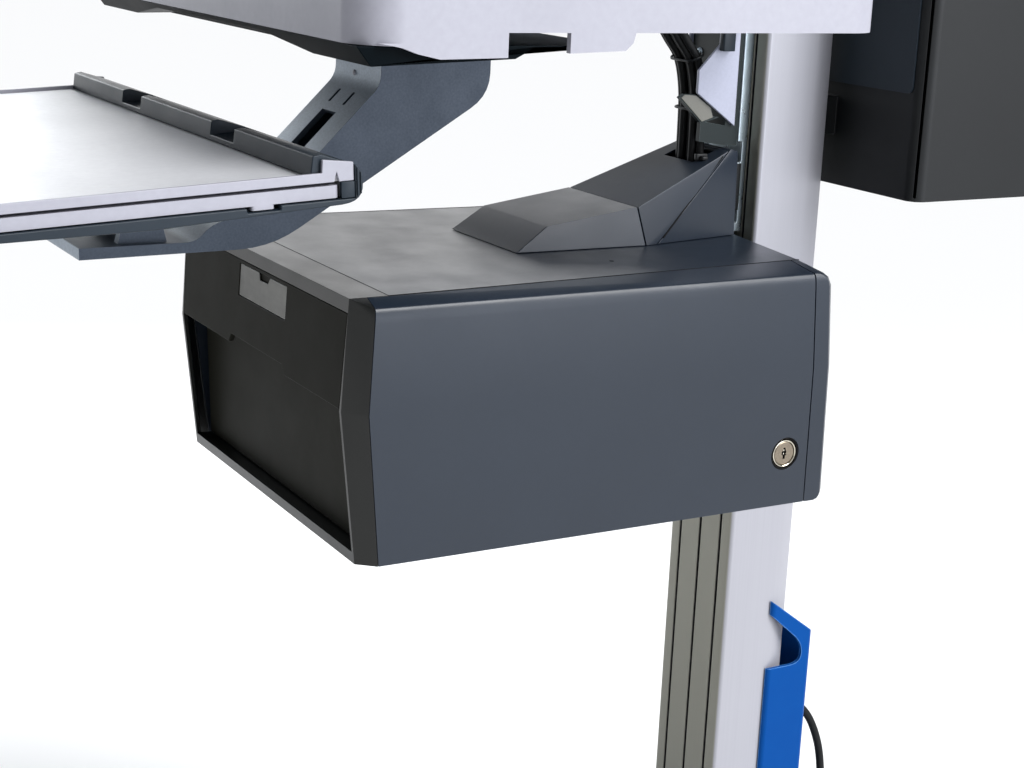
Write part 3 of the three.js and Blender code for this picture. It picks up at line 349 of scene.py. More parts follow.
def extruded_aluminium():
    """Satin anodised aluminium with faint die lines along the extrusion."""
    finish = Finish("column_aluminium", (160, 160, 167), 0.36, 0.25, Anisotropic=0.2)
    along = (1, 1, 0.004)
    finish.mottle(1.2 * MM, (150, 150, 157), 0.4, 3, along)
    finish.mottle(180 * MM, (167, 167, 174), 0.4)
    # Painted shade: the grooved front wall is painted darker and warmer than the sides, for the side that
    # faces away from the light.
    front = low("column_extrusion").y
    finish.tint(finish.beyond("Y", front + 1.2 * MM, front + 0.4 * MM), (136, 135, 124))
    # Painted shade: the insides of the grooves are painted near black.
    finish.tint(in_grooves(finish, front), (24, 24, 24))
    finish.gloss(1.6 * MM, 0.04, 3, along)
    finish.relief(finish.noise(0.7 * MM, 3, along), 0.006 * MM)
    finish.grain(0.25 * MM, 0.004 * MM)
    return finish.material


def in_grooves(finish, front):
    """1 inside the three grooves of the front wall: one in the middle and one on each side."""
    # Folding X twice lays the grooves over one another.
    across = finish.add("SeparateXYZ", Vector=finish.place).outputs["X"]
    for _ in range(2):
        across = finish.add("Math", {"operation": "ABSOLUTE"}, Value=across).outputs["Value"]
        across = finish.add("Math", {"operation": "SUBTRACT"}, Value=across).outputs["Value"]
        across.node.inputs[1].default_value = GROOVE_STEP / 2
    across = finish.add("Math", {"operation": "ABSOLUTE"}, Value=across).outputs["Value"]
    soft = 0.1 * MM
    inside = finish.spread(across, 1, 0, GROOVE_HALF_WIDTH - soft, GROOVE_HALF_WIDTH + soft)
    # They start behind the front face and end at the groove's floor.
    soft = 0.5 * MM
    for limit in (
        finish.beyond("Y", front + 0.5 * MM, front + 1.3 * MM),
        finish.beyond("Y", front + GROOVE_DEPTH + soft, front + GROOVE_DEPTH - soft),
    ):
        both = finish.add("Math", {"operation": "MULTIPLY"}, Value=inside)
        finish.tree.links.new(limit, both.inputs[1])
        inside = both.outputs["Value"]
    return inside


def zinc_plate():
    """Bright zinc-plated steel: faint blue and straw patches."""
    finish = Finish("zinc_steel", (198, 211, 218), 0.3, 0.75)
    finish.mottle(30 * MM, (164, 190, 204), 0.5)
    finish.mottle(9 * MM, (214, 220, 222), 0.3)
    finish.gloss(12 * MM, 0.05, 4)
    finish.grain(0.4 * MM, 0.003 * MM)
    # Painted highlight: the edges are lightened almost to white, as a glint along the rounded edges of the
    # plated steel.
    finish.edge_wear_and_glint(1.0 * MM, (244, 248, 250), 0.9)
    return finish.material


def rubber(name, color, roughness):
    """Matt rubber with a fine skin."""
    finish = Finish(name, color, roughness, Specular_IOR_Level=0.22)
    finish.mottle(8 * MM, tuple(min(255, c + 8) for c in color), 0.4, 5)
    finish.gloss(6 * MM, 0.06)
    finish.grain(0.35 * MM, 0.02 * MM)
    return finish.material


def gloss_blue():
    """Glossy blue plastic with a slightly wavy surface."""
    finish = Finish("blue_plastic", (1, 64, 134), 0.34, Specular_IOR_Level=0.06)
    finish.mottle(60 * MM, (2, 72, 142), 0.5)
    finish.gloss(25 * MM, 0.04)
    finish.grain(2.5 * MM, 0.012 * MM)
    # Painted highlight: the edges are lightened to a pale blue, as a glint along the rounded edges.
    finish.edge_wear_and_glint(1.2 * MM, (120, 178, 240), 0.8)
    return finish.material


def frosted_window():
    """The label holder's frosted window, patchy where the light comes through."""
    finish = Finish("frosted_plastic", (74, 74, 70), 0.42, IOR=1.49)
    finish.mottle(26 * MM, (112, 112, 106), 0.6, 3, (0.35, 1, 1.6))
    finish.gloss(8 * MM, 0.04)
    finish.grain(0.3 * MM, 0.012 * MM)
    finish.edge_wear_and_glint(0.9 * MM, (196, 198, 198), 0.8)
    return finish.material


def polished_nickel(name):
    finish = Finish(name, (214, 208, 192), 0.12, 1.0)
    finish.mottle(2 * MM, (200, 190, 172), 0.4)
    finish.gloss(1.5 * MM, 0.04, 5)
    finish.grain(0.6 * MM, 0.004 * MM)
    return finish.material


def satin_nickel(centre):
    """The turned face of the lock, with fine rings round its own axis."""
    finish = Finish("satin_nickel", (142, 131, 115), 0.34, 0.85)
    local = finish.add("VectorMath", {"operation": "SUBTRACT"})
    finish.tree.links.new(finish.place, local.inputs[0])
    local.inputs[1].default_value = centre
    flat = finish.add("VectorMath", {"operation": "MULTIPLY"})
    finish.tree.links.new(local.outputs["Vector"], flat.inputs[0])
    flat.inputs[1].default_value = (0, 1, 1)
    radius = finish.add("VectorMath", {"operation": "LENGTH"})
    finish.tree.links.new(flat.outputs["Vector"], radius.inputs[0])
    rings = finish.add("TexNoise", {"noise_dimensions": "1D"}, Scale=1 / (0.35 * MM), Detail=3.0)
    finish.tree.links.new(radius.outputs["Value"], rings.inputs["W"])
    finish.mottle(0.9 * MM, (104, 94, 82), 0.7, 5)
    finish.gloss(2 * MM, 0.06)
    finish.relief(rings.outputs["Fac"], 0.012 * MM)
    return finish.material


def plain_dark(name, color, roughness):
    """The dark inside of a port, keyhole or vent: near-black painted shade for a recess."""
    finish = Finish(name, color, roughness, Specular_IOR_Level=0.15)
    finish.mottle(3 * MM, tuple(c + 5 for c in color), 0.5)
    finish.grain(0.4 * MM, 0.02 * MM)
    return finish.material


# Name, colour, roughness, colour of worn edges and specular level of the moulded plastics.
PLASTICS = [
    ("slate_plastic", (27, 37, 46), 0.42, (84, 98, 110), 0.3),
    ("housing_plastic", (27, 35, 46), 0.34, (104, 110, 126), 0.42),
    ("front_plastic", (25, 26, 25), 0.34, (74, 74, 72), 0.34),
    ("drawer_plastic", (33, 33, 29), 0.42, (60, 60, 56), 0.02),
    # The pan's plastic is painted near black: painted shade for the underside of the worksurface.
    ("pan_plastic", (3, 9, 13), 0.42, (60, 74, 84), 0.03),
    ("black_plastic", (18, 20, 22), 0.48, (50, 53, 57), 0.3),
    ("light_plastic", (154, 154, 164), 0.42, (206, 206, 214), 0.5),
    ("tray_plastic", (198, 199, 203), 0.42, (226, 227, 232), 0.5),
]
# Name, colour, roughness, colour of worn edges and specular level of the powder-coated steels.
COATINGS = [
    ("carriage_paint", (158, 161, 178), 0.4, (225, 226, 236), 0.5),
    ("bracket_steel", (20, 30, 31), 0.4, (96, 110, 110), 0.25),
    # The tongue's lighter grey is painted light for a sloped flange catching the light.
    ("tongue_steel", (104, 103, 96), 0.45, (128, 127, 118), 0.5),
    ("black_steel", (24, 25, 27), 0.46, (78, 80, 82), 0.35),
    ("battery_case", (44, 50, 60), 0.5, (98, 104, 112), 0.5),
]


def make_materials():
    """Every material, by the name of the slot or piece that it is for."""
    made = {
        "base_plastic": moulded("base_plastic", (206, 208, 212), 0.5, (228, 230, 234), 0.9 * MM, 0.03 * MM),
        "column_aluminium": extruded_aluminium(),
        "arm_paint": arm_paint(),
        "zinc_steel": zinc_plate(),
        "blue_plastic": gloss_blue(),
        "frosted_plastic": frosted_window(),
        "spring_rod": polished_nickel("spring_rod"),
        "lock_nickel": polished_nickel("lock_nickel"),
        "satin_nickel": satin_nickel(middle("lock_barrel")),
        "cable_rubber": rubber("cable_rubber", (15, 16, 17), 0.58),
        "palm_rubber": rubber("palm_rubber", (38, 40, 43), 0.7),
        "caster_tyre": rubber("caster_tyre", (96, 99, 104), 0.72),
        "dark_inside": plain_dark("dark_inside", (9, 9, 10), 0.7),
    }
    for name, color, roughness, worn, specular in PLASTICS:
        made[name] = moulded(name, color, roughness, worn, Specular_IOR_Level=specular)
    for name, color, roughness, worn, specular in COATINGS:
        made[name] = powder_coat(name, color, roughness, worn, Specular_IOR_Level=specular)
    return made


# ---------------------------------------------------------------- CAD nodes: edges and shading

def socket(group, name, direction):
    group.interface.new_socket(name=name, in_out=direction, socket_type="NodeSocketGeometry")


def joined_up_group():
    """Geometry nodes: drops the imported normals and joins the split corners."""
    group = bpy.data.node_groups.new("joined_up", "GeometryNodeTree")
    socket(group, "Geometry", "INPUT")
    socket(group, "Geometry", "OUTPUT")
    start = group.nodes.new("NodeGroupInput")
    end = group.nodes.new("NodeGroupOutput")
    bare = group.nodes.new("GeometryNodeRemoveAttribute")
    bare.inputs["Name"].default_value = "custom_normal"
    merge = group.nodes.new("GeometryNodeMergeByDistance")
    merge.inputs["Distance"].default_value = 0.004 * MM
    group.links.new(start.outputs[0], bare.inputs["Geometry"])
    group.links.new(bare.outputs["Geometry"], merge.inputs["Geometry"])
    group.links.new(merge.outputs["Geometry"], end.inputs[0])
    return group


def smoothed_group(limit):
    """Geometry nodes: smooth shading, with edges sharper than limit kept sharp."""
    group = bpy.data.node_groups.new("smoothed", "GeometryNodeTree")
    socket(group, "Geometry", "INPUT")
    socket(group, "Geometry", "OUTPUT")
    start = group.nodes.new("NodeGroupInput")
    end = group.nodes.new("NodeGroupOutput")
    angle = group.nodes.new("GeometryNodeInputMeshEdgeAngle")
    compare = group.nodes.new("FunctionNodeCompare")
    compare.operation = "LESS_THAN"
    compare.inputs[1].default_value = limit
    edges = group.nodes.new("GeometryNodeSetShadeSmooth")
    edges.domain = "EDGE"
    faces = group.nodes.new("GeometryNodeSetShadeSmooth")
    faces.domain = "FACE"
    group.links.new(start.outputs[0], faces.inputs["Geometry"])
    group.links.new(faces.outputs["Geometry"], edges.inputs["Geometry"])
    group.links.new(angle.outputs["Unsigned Angle"], compare.inputs[0])
    group.links.new(compare.outputs["Result"], edges.inputs["Shade Smooth"])
    group.links.new(edges.outputs["Geometry"], end.inputs[0])
    return group


SHARP_ANGLE = math.radians(31)
SMOOTHED = smoothed_group(SHARP_ANGLE)

# The nodes with each width of rounded edge, in millimetres. All others have the default.
DEFAULT_EDGE = 0.7
EDGE_WIDTHS = {
    2.5: ["base_cover"],
    2.2: ["worksurface_top"],
    2.0: ["column_foot_clamp"],
    1.6: ["column_cap"],
    1.4: ["keyboard_arm", "tray_under_pan"],
    1.2: ["rear_compartment_door"],
    1.1: ["cord_holder"],
    1.0: ["worksurface_pan", "side_panel_right", "side_panel_left"],
    0.9: ["front_bezel", "lift_rail"],
    0.5: ["bridge_front_cover", "bridge_rear_cover", "bridge_saddle", "column_extrusion",
          "tray_end_plate_right", "tray_end_plate_left"],
    0.4: ["housing_shell", "gas_spring_cylinder"],
    0.3: ["lift_shoe", "label_holder", "gas_spring_rod", "bottom_plate"],
    0.2: ["drawer_slide_right", "drawer_slide_left", "drawer_runner_right", "drawer_runner_left"],
}

# Nodes that look different from the others in their material slot. The worksurface pan is painted near
# black: painted shade for its underside.
OWN_MATERIAL = {
    "drawer_front": "drawer_plastic",
    "drawer_lower_panel": "drawer_plastic",
    "worksurface_pan": "pan_plastic",
}


def dress_cad_nodes():
    """Gives each CAD node its material, rounded edges and shading, without moving it."""
    record_slots = {row["node"]: row["material_slot"] for row in frame["record"]["subparts"]}
    edge_widths = {name: width for width, names in EDGE_WIDTHS.items() for name in names}
    joined_up = joined_up_group()
    for name, node in NODES.items():
        node.data.materials.clear()
        node.data.materials.append(MATERIALS[OWN_MATERIAL.get(name, record_slots[name])])
        start = node.modifiers.new("joined_up", "NODES")
        start.node_group = joined_up
        flat = node.modifiers.new("flat_faces", "DECIMATE")
        flat.decimate_type = "DISSOLVE"
        flat.angle_limit = math.radians(0.4)
        edge = node.modifiers.new("edges", "BEVEL")
        edge.width = edge_widths.get(name, DEFAULT_EDGE) * MM
        edge.segments = 3
        edge.limit_method = "ANGLE"
        edge.angle_limit = SHARP_ANGLE
        edge.use_clamp_overlap = True
        edge.miter_outer = "MITER_ARC"
        end = node.modifiers.new("smoothed", "NODES")
        end.node_group = SMOOTHED
        even = node.modifiers.new("even_normals", "WEIGHTED_NORMAL")
        even.keep_sharp = True
        even.weight = 60


# ---------------------------------------------------------------- mesh pieces

def piece(name, bm, material, body, stands_for=()):
    """A bmesh as a piece that rides a body, with smooth shading between its sharp edges."""
    bmesh.ops.recalc_face_normals(bm, faces=bm.faces)
    mesh = bpy.data.meshes.new(name)
    bm.to_mesh(mesh)
    bm.free()
    made = bpy.data.objects.new(name, mesh)
    bpy.context.scene.collection.objects.link(made)
    mesh.materials.append(MATERIALS[material])
    shading = made.modifiers.new("smoothed", "NODES")
    shading.node_group = SMOOTHED
    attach(made, body)
    if stands_for:
        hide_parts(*stands_for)
    return made


def cross_axes(along):
    side = along.orthogonal().normalized()
    return side, along.cross(side)


def join_rings(bm, first, second):
    """Faces between two rings of vertices. A ring of one vertex closes to a point."""
    count = max(len(first), len(second))
    for i in range(count):
        j = (i + 1) % count
        if len(first) == 1:
            bm.faces.new((first[0], second[j], second[i]))
        elif len(second) == 1:
            bm.faces.new((first[i], first[j], second[0]))
        else:
            bm.faces.new((first[i], first[j], second[j], second[i]))


def turned(bm, profile, centre, axis, segments=48):
    """(radius, distance) points in metres, turned round an axis through centre."""
    along = Vector(axis).normalized()
    side, up = cross_axes(along)
    rings = []
    for radius, distance in profile:
        heart = centre + along * distance
        turns = [TAU * i / segments for i in range(segments)] if radius > 0 else [0]
        spots = [heart + (side * math.cos(a) + up * math.sin(a)) * radius for a in turns]
        rings.append([bm.verts.new(spot) for spot in spots])
    for first, second in zip(rings, rings[1:]):
        join_rings(bm, first, second)
    if profile[0][0] > 0:
        join_rings(bm, rings[-1], rings[0])


def prism(bm, outline, start, end):
    """A closed outline of points, moved by start and by end, with a face at each."""
    first = [bm.verts.new(p + start) for p in outline]
    second = [bm.verts.new(p + end) for p in outline]
    bm.faces.new(first)
    bm.faces.new(second)
    join_rings(bm, first, second)


def block(bm, low_corner, high_corner, edge, segments=3):
    """A box between two corners with rounded edges."""
    size = high_corner - low_corner
    place = Matrix.Translation((low_corner + high_corner) / 2) @ Matrix.Diagonal((*size, 1))
    made = bmesh.ops.create_cube(bm, size=1, matrix=place)
    edges = list({e for v in made["verts"] for e in v.link_edges})
    bmesh.ops.bevel(bm, geom=edges, offset=edge, segments=segments, profile=0.5, affect="EDGES")


def rounded_outline(half_x, half_y, radius, steps=6):
    """A rounded rectangle round the origin, in X and Y."""
    points = []
    for quarter, (sx, sy) in enumerate(((1, 1), (-1, 1), (-1, -1), (1, -1))):
        corner = Vector((sx * (half_x - radius), sy * (half_y - radius), 0))
        for i in range(steps + 1):
            a = (quarter + i / steps) * TAU / 4
            points.append(corner + radius * Vector((math.cos(a), math.sin(a), 0)))
    return points


def tube(bm, points, radius, sides=12, closed=False):
    """A round bar along points, with flat ends unless it is closed."""
    rings = []
    count = len(points)
    side = None
    for i, point in enumerate(points):
        if closed:
            along = points[(i + 1) % count] - points[i - 1]
        else:
            along = points[min(i + 1, count - 1)] - points[max(i - 1, 0)]
        along.normalize()
        side = cross_axes(along)[0] if side is None else (side - along * side.dot(along)).normalized()
        up = along.cross(side)
        rings.append([
            bm.verts.new(point + (side * math.cos(a) + up * math.sin(a)) * radius)
            for a in (TAU * k / sides for k in range(sides))
        ])
    for first, second in zip(rings, rings[1:]):
        join_rings(bm, first, second)
    if closed:
        join_rings(bm, rings[-1], rings[0])
    else:
        bm.faces.new(rings[0])
        bm.faces.new(rings[-1])


def screw_head(bm, at, axis, radius):
    """A button-head screw with a round socket, seen standing on a face."""
    r = radius
    turned(bm, [
        (0, 0.12 * r), (0.42 * r, 0.12 * r), (0.46 * r, 0.5 * r), (0.62 * r, 0.5 * r), (0.86 * r, 0.36 * r),
        (r, 0.12 * r), (r, -0.1 * r), (0, -0.1 * r),
    ], at, axis, 24)


# ---------------------------------------------------------------- cords

def smooth_route(points, steps=6):
    """Points on a Catmull-Rom curve through the given ones."""
    extended = [2 * points[0] - points[1], *points, 2 * points[-1] - points[-2]]
    route = []
    for a, b, c, d in zip(extended, extended[1:], extended[2:], extended[3:]):
        for i in range(steps):
            t = i / steps
            slope = (c - a) * t
            bend = (2 * a - 5 * b + 4 * c - d) * t ** 2
            twist = (3 * b - a - 3 * c + d) * t ** 3
            route.append(0.5 * (2 * b + slope + bend + twist))
    route.append(points[-1])
    return route


def make_cord(name, route, diameter, body, stands_for=()):
    """A round cord held at both ends, as a curve."""
    data = bpy.data.curves.new(name, "CURVE")
    data.dimensions = "3D"
    data.bevel_depth = diameter / 2
    data.bevel_resolution = 4
    data.use_fill_caps = True
    spline = data.splines.new("POLY")
    spline.points.add(len(route) - 1)
    for point, place in zip(spline.points, route):
        point.co = (*place, 1)
    spline.use_smooth = True
    cord = bpy.data.objects.new(name, data)
    bpy.context.scene.collection.objects.link(cord)
    data.materials.append(MATERIALS["cable_rubber"])
    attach(cord, body)
    if stands_for:
        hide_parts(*stands_for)


# Down behind the column, through the holder's rear port, and round in a slack loop into the base.
LEAD_ROUTE = [
    (-25, 497, 212), (-25, 497, 190), (-25, 492, 150), (-25, 484, 60), (-24, 479, -60), (-22, 478, -140),
    (-16, 478, -190), (-2, 480, -222), (8, 487, -238), (15, 499, -248), (19, 511, -258), (20, 522, -275),
    (20, 532, -302), (20, 536, -335), (20, 530, -370), (20, 523, -390), (20, 520, -401),
]
LEAD_DIAMETER = 7 * MM

# The bundle's middle, from the hole in the rear cover up to the worksurface.
BUNDLE_ROUTE = [
    (0, 360.4, 226), (0, 360.4, 260), (0, 359, 290), (0, 353, 314), (0, 342, 329), (0, 330, 345),
]
# Each cable's place across and along the bundle, and its diameter, in millimetres.
CABLES = [
    (-12.6, 0, 7.2), (-6, 3.4, 6.4), (-5.4, -3.6, 6.2), (1.5, 0.2, 7.4),
    (7.4, 3.6, 5.8), (8, -3.4, 6.2), (13.4, 0.4, 6.2),
]
# Each tie's place along Y and Z in millimetres, and its lean in degrees.
TIES = [(359.6, 276, 3), (352.2, 316, 24)]


def make_cords():
    make_cord("power_lead_cord", smooth_route([on_lift(*p) for p in LEAD_ROUTE]), LEAD_DIAMETER,
              "chassis", ["power_lead"])
    for i, (across, along, diameter) in enumerate(CABLES):
        route = smooth_route([on_lift(x + across, y + along, z) for x, y, z in BUNDLE_ROUTE])
        make_cord(f"bundle_cable_{i + 1}", route, diameter * MM, "lift",
                  ["cable_bundle"] if i == 0 else [])
    for i, (y, z, lean) in enumerate(TIES):
        bm = bmesh.new()
        outline = rounded_outline(16.3 * MM, 6.7 * MM, 6.2 * MM)
        tilt = Matrix.Rotation(math.radians(lean), 3, "X")
        tube(bm, [on_lift(0, y, z) + tilt @ p for p in outline], 1.0 * MM, 8, closed=True)
        piece(f"bundle_tie_{i + 1}", bm, "black_plastic", "lift")


def make_lead_gland():
    """A ribbed strain relief under the compartment, tapering down to the lead."""
    lo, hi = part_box("lead_gland")
    bore = LEAD_DIAMETER / 2 + 0.35 * MM
    ribs, first_rib, rib_step = 5, 0.6 * MM, 2.3 * MM
    profile = [(bore, 0)]
    for i in range(ribs):
        z = first_rib + rib_step * i
        waist = (4.3 + 0.32 * i) * MM
        crest = (4.8 + 0.42 * i) * MM
        profile += [(waist, z), (crest, z + 0.4 * MM), (crest, z + 1.3 * MM), (waist, z + 1.7 * MM)]
    neck, flange = 6.0 * MM, 9.5 * MM
    top = hi.z - lo.z
    seat = top - 6.4 * MM
    profile += [
        (neck, seat - 3 * MM), (flange, seat - 2.4 * MM), (flange, seat - 0.4 * MM), (neck, seat),
        (neck, top), (bore, top),
    ]
    bm = bmesh.new()
    centre = Vector(((lo.x + hi.x) / 2, (lo.y + hi.y) / 2, lo.z))
    turned(bm, profile, centre, (0, 0, 1), 32)
    piece("strain_relief", bm, "cable_rubber", "chassis", ["lead_gland"])


# ---------------------------------------------------------------- lock

LOCK_SEGMENTS = 72
# The keyway's outline, across and up from the lock's middle, in millimetres.
KEYWAY = [
    (-1.1, -4.3), (0.9, -4.3), (0.9, -1.9), (2.1, -1.2), (1.2, -0.2), (2.2, 0.8), (1.4, 2.2),
    (0.7, 4.3), (-0.9, 4.3), (-1.2, 1.9), (-2.3, 1.2), (-2.3, -0.9), (-1.1, -1.6),
]
KEYWAY_DEPTH = 4 * MM
KEYWAY_REACH = 4.8 * MM


def make_lock():
    """The cam lock. Distances run along X from the face of its cylinder."""
    centre = middle("lock_barrel")
    heart = Vector((high("lock_cylinder").x, centre.y, centre.z))
    make_lock_rim(heart)
    make_lock_face(heart)
    make_lock_cam(centre)


def make_lock_rim(heart):
    """The polished rim with its collar, and the dark ring round it: painted shade for the gap round the
    rim.
    """
    bore, shank, collar = 5.4 * MM, 8.5 * MM, 15 * MM
    rim, dish = 10.6 * MM, 9.2 * MM
    bm = bmesh.new()
    turned(bm, [
        (bore, -9 * MM), (shank, -9 * MM), (shank, -5.6 * MM), (collar, -5.6 * MM), (collar, -3.1 * MM),
        (rim, -3.1 * MM), (rim, -0.5 * MM), (rim - 0.15 * MM, 0.0), (rim - 0.5 * MM, 0.35 * MM),
        (rim - 0.9 * MM, 0.4 * MM), (dish + 0.1 * MM, 0.15 * MM), (dish, -0.3 * MM),
        (dish, -2.3 * MM), (bore, -2.3 * MM),
    ], heart, (1, 0, 0), LOCK_SEGMENTS)
    piece("lock_rim", bm, "lock_nickel", "lift", ["lock_barrel"])

    inner, outer = rim + 0.15 * MM, 12.45 * MM
    bm = bmesh.new()
    turned(bm, [
        (inner, -3 * MM), (outer, -3 * MM), (outer, 0.3 * MM), (outer - 0.25 * MM, 0.7 * MM),
        (outer - 0.95 * MM, 0.7 * MM), (inner, -0.6 * MM),
    ], heart, (1, 0, 0), LOCK_SEGMENTS)
    piece("lock_surround", bm, "dark_inside", "lift")


def make_lock_cam(centre):
    """The cam on the back of the cylinder, with its screw."""
    lo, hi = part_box("lock_cylinder")
    thick, half_height, clearance = 2.8 * MM, 4.5 * MM, 3 * MM
    bm = bmesh.new()
    block(bm, Vector((lo.x, lo.y, centre.z - half_height)),
          Vector((lo.x + thick, hi.y - clearance, centre.z + half_height)), 0.8 * MM)
    screw_head(bm, Vector((lo.x, centre.y, centre.z)), (-1, 0, 0), 3.5 * MM)
    piece("lock_cam", bm, "zinc_steel", "lock")


def make_lock_face(heart):
    """The cylinder's satin face, with its keyway cut in, and two pins inside the keyway."""
    bm = bmesh.new()

    def ring(radius, distance):
        turns = [TAU * i / LOCK_SEGMENTS for i in range(LOCK_SEGMENTS)]
        spots = [Vector((distance, radius * math.cos(a), radius * math.sin(a))) for a in turns]
        return [bm.verts.new(heart + spot) for spot in spots]

    rings = [ring(8.3 * MM, 0), ring(8.8 * MM, -0.35 * MM), ring(8.95 * MM, -1.4 * MM),
             ring(5 * MM, -1.9 * MM), ring(5 * MM, -12 * MM)]
    for first, second in zip(rings, rings[1:]):
        join_rings(bm, first, second)
    bm.faces.new(rings[-1])
    mouth = [bm.verts.new(heart + Vector((0, across, up)) * MM) for across, up in KEYWAY]
    floor = [bm.verts.new(v.co - Vector((KEYWAY_DEPTH, 0, 0))) for v in mouth]
    join_rings(bm, mouth, floor)
    bm.faces.new(floor)
    edges = [bm.edges.get((a, b)) or bm.edges.new((a, b)) for loop in (rings[0], mouth)
             for a, b in zip(loop, loop[1:] + loop[:1])]
    bmesh.ops.triangle_fill(bm, use_beauty=True, edges=edges)
    face = piece("lock_face", bm, "satin_nickel", "lock", ["lock_cylinder"])
    # Painted shade: the faces inside the keyway are painted near black.
    face.data.materials.append(MATERIALS["dark_inside"])
    for polygon in face.data.polygons:
        near = (polygon.center - heart).yz.length < KEYWAY_REACH
        polygon.material_index = 1 if near and polygon.center.x < heart.x - 0.5 * MM else 0

    pin, pin_end = 1.15 * MM, -2 * MM
    bm = bmesh.new()
    for across, up in ((0.9, 2.0), (0.8, -0.9)):
        turned(bm, [(0, 0.3 * MM), (0.8 * MM, 0.2 * MM), (pin, -0.4 * MM), (pin, pin_end), (0, pin_end)],
               heart + Vector((-1.5, across, up)) * MM, (1, 0, 0), 20)
    piece("lock_pins", bm, "lock_nickel", "lock")


# ---------------------------------------------------------------- casters

TYRE_INNER, TYRE_OUTER = 7.8 * MM, 24.8 * MM  # a tyre's sides, from the caster's middle
SHOULDER = 4 * MM
HUB_RADIUS = 36 * MM
SPOKES = 6


def tyre_profile(tread):
    """A tyre's section: round shoulders, a fine groove in the middle of the tread, a bevelled wall."""
    steps = 4
    turns = [(i / steps) * TAU / 4 for i in range(steps + 1)]
    # How far each point of a shoulder lies inside the corner that it rounds off.
    shoulder = [(SHOULDER * (1 - math.sin(a)), SHOULDER * (1 - math.cos(a))) for a in turns]
    middle_x, floor = (TYRE_INNER + TYRE_OUTER) / 2, tread - 1 * MM
    mouth_half, floor_half = 1.2 * MM, 0.6 * MM
    return [
        (HUB_RADIUS, TYRE_INNER), (46 * MM, TYRE_INNER),
        *((tread - down, TYRE_INNER + across) for down, across in shoulder),
        (tread, middle_x - mouth_half), (floor, middle_x - floor_half),
        (floor, middle_x + floor_half), (tread, middle_x + mouth_half),
        *((tread - down, TYRE_OUTER - across) for across, down in shoulder),
        (40 * MM, TYRE_OUTER), (38 * MM, TYRE_OUTER - 1 * MM), (HUB_RADIUS, TYRE_OUTER - 2 * MM),
    ]


# The hub's face from its rim to its middle: radius, and depth below the tyre's side, in millimetres.
HUB_FACE = [
    (36, 1.6), (34, 0.8), (32, 1.6), (31, 4.5), (15, 4.5), (13.5, 1.2), (11, 0.2), (5, 0.2),
    (4.4, 0.9), (0, 0.9),
]


def hub_profile():
    """A hub's section, from its inner side out to its dished face."""
    face = [(radius * MM, TYRE_OUTER - depth * MM) for radius, depth in HUB_FACE]
    return [(0, TYRE_INNER), (HUB_RADIUS, TYRE_INNER), *face]


def add_spokes(bm, centre, side):
    """Flat ribs across the hub's dished face."""
    half_width = 1.7 * MM
    foot = centre + Vector((side, 0, 0)) * (TYRE_OUTER - 5 * MM)
    top = centre + Vector((side, 0, 0)) * (TYRE_OUTER - 2.4 * MM)
    for i in range(SPOKES):
        a = TAU * i / SPOKES
        along = Vector((0, math.cos(a), math.sin(a)))
        across = Vector((0, -math.sin(a), math.cos(a))) * half_width
        start, end = along * 13 * MM, along * 32 * MM
        prism(bm, [start - across, end - across, end + across, start + across], foot, top)


def make_wheels():
    """Each caster's twin wheels: grey tyres, and dark hubs on one axle."""
    axle, reach = 4 * MM, 25 * MM
    for corner in ("front_left", "front_right", "rear_left", "rear_right"):
        node = "caster_wheels_" + corner
        body = "wheels_" + corner
        centre = middle(node)
        tread = (high(node).z - low(node).z) / 2
        tyres = bmesh.new()
        hubs = bmesh.new()
        for side in (-1, 1):
            turned(tyres, tyre_profile(tread), centre, (side, 0, 0), 64)
            turned(hubs, hub_profile(), centre, (side, 0, 0), 64)
            add_spokes(hubs, centre, side)
        turned(hubs, [(0, -reach), (axle, -reach), (axle, reach), (0, reach)], centre, (1, 0, 0), 24)
        piece("tyres_" + corner, tyres, "caster_tyre", body, [node])
        piece("hubs_" + corner, hubs, "slate_plastic", body)


# ---------------------------------------------------------------- keyboard tray

TRAY_FRAME = Matrix.Translation(on_lift(0, -37, 270)) @ Matrix.Rotation(math.radians(3), 4, "X")


def make_palm_rest():
    """A foam pad with a crowned top, flat where it is stuck to the tray, and drawn in at both ends."""
    half_width, half_depth, height = 221 * MM, 29.5 * MM, 10.6 * MM
    middle_y, floor_z = -236 * MM, 3.2 * MM
    drawn_in_from, drawn_in_by = 0.94, 12 * MM
    slices, around = 96, 28
    bm = bmesh.new()
    rings = []
    for i in range(slices + 1):
        u = -1 + 2 * i / slices
        towards_end = max(0.0, (abs(u) - drawn_in_from) / (1 - drawn_in_from))
        fullness = math.sqrt(max(0.0, 1 - towards_end ** 2)) * 0.999 + 0.001
        depth = half_depth - drawn_in_by * (1 - fullness)
        tall = height * (0.25 + 0.75 * fullness)
        ring = []
        for k in range(around + 1):
            a = math.pi * k / around
            y = math.copysign(abs(math.cos(a)) ** 0.62, math.cos(a)) * depth
            z = math.sin(a) ** 0.5 * tall * (1 - 0.10 * math.cos(a))
            ring.append(bm.verts.new(TRAY_FRAME @ Vector((u * half_width, middle_y + y, floor_z + z))))
        rings.append(ring)
    for first, second in zip(rings, rings[1:]):
        join_rings(bm, first, second)
    bm.faces.new(rings[0])
    bm.faces.new(rings[-1])
    pad = piece("palm_pad", bm, "palm_rubber", "keyboard_tray", ["palm_rest"])


# The limits in X, Y and Z of the right cap's blocks, in millimetres from the tray's rear edge.
TRAY_END_BLOCKS = [
    ((232.3, 235.6), (-8.4, -0.3), (-9.9, -0.6)),
    ((236.1, 236.9), (1.0, 1.7), (-9.0, 7.4)),
    ((236.1, 236.9), (3.0, 3.7), (-8.0, 4.6)),
]


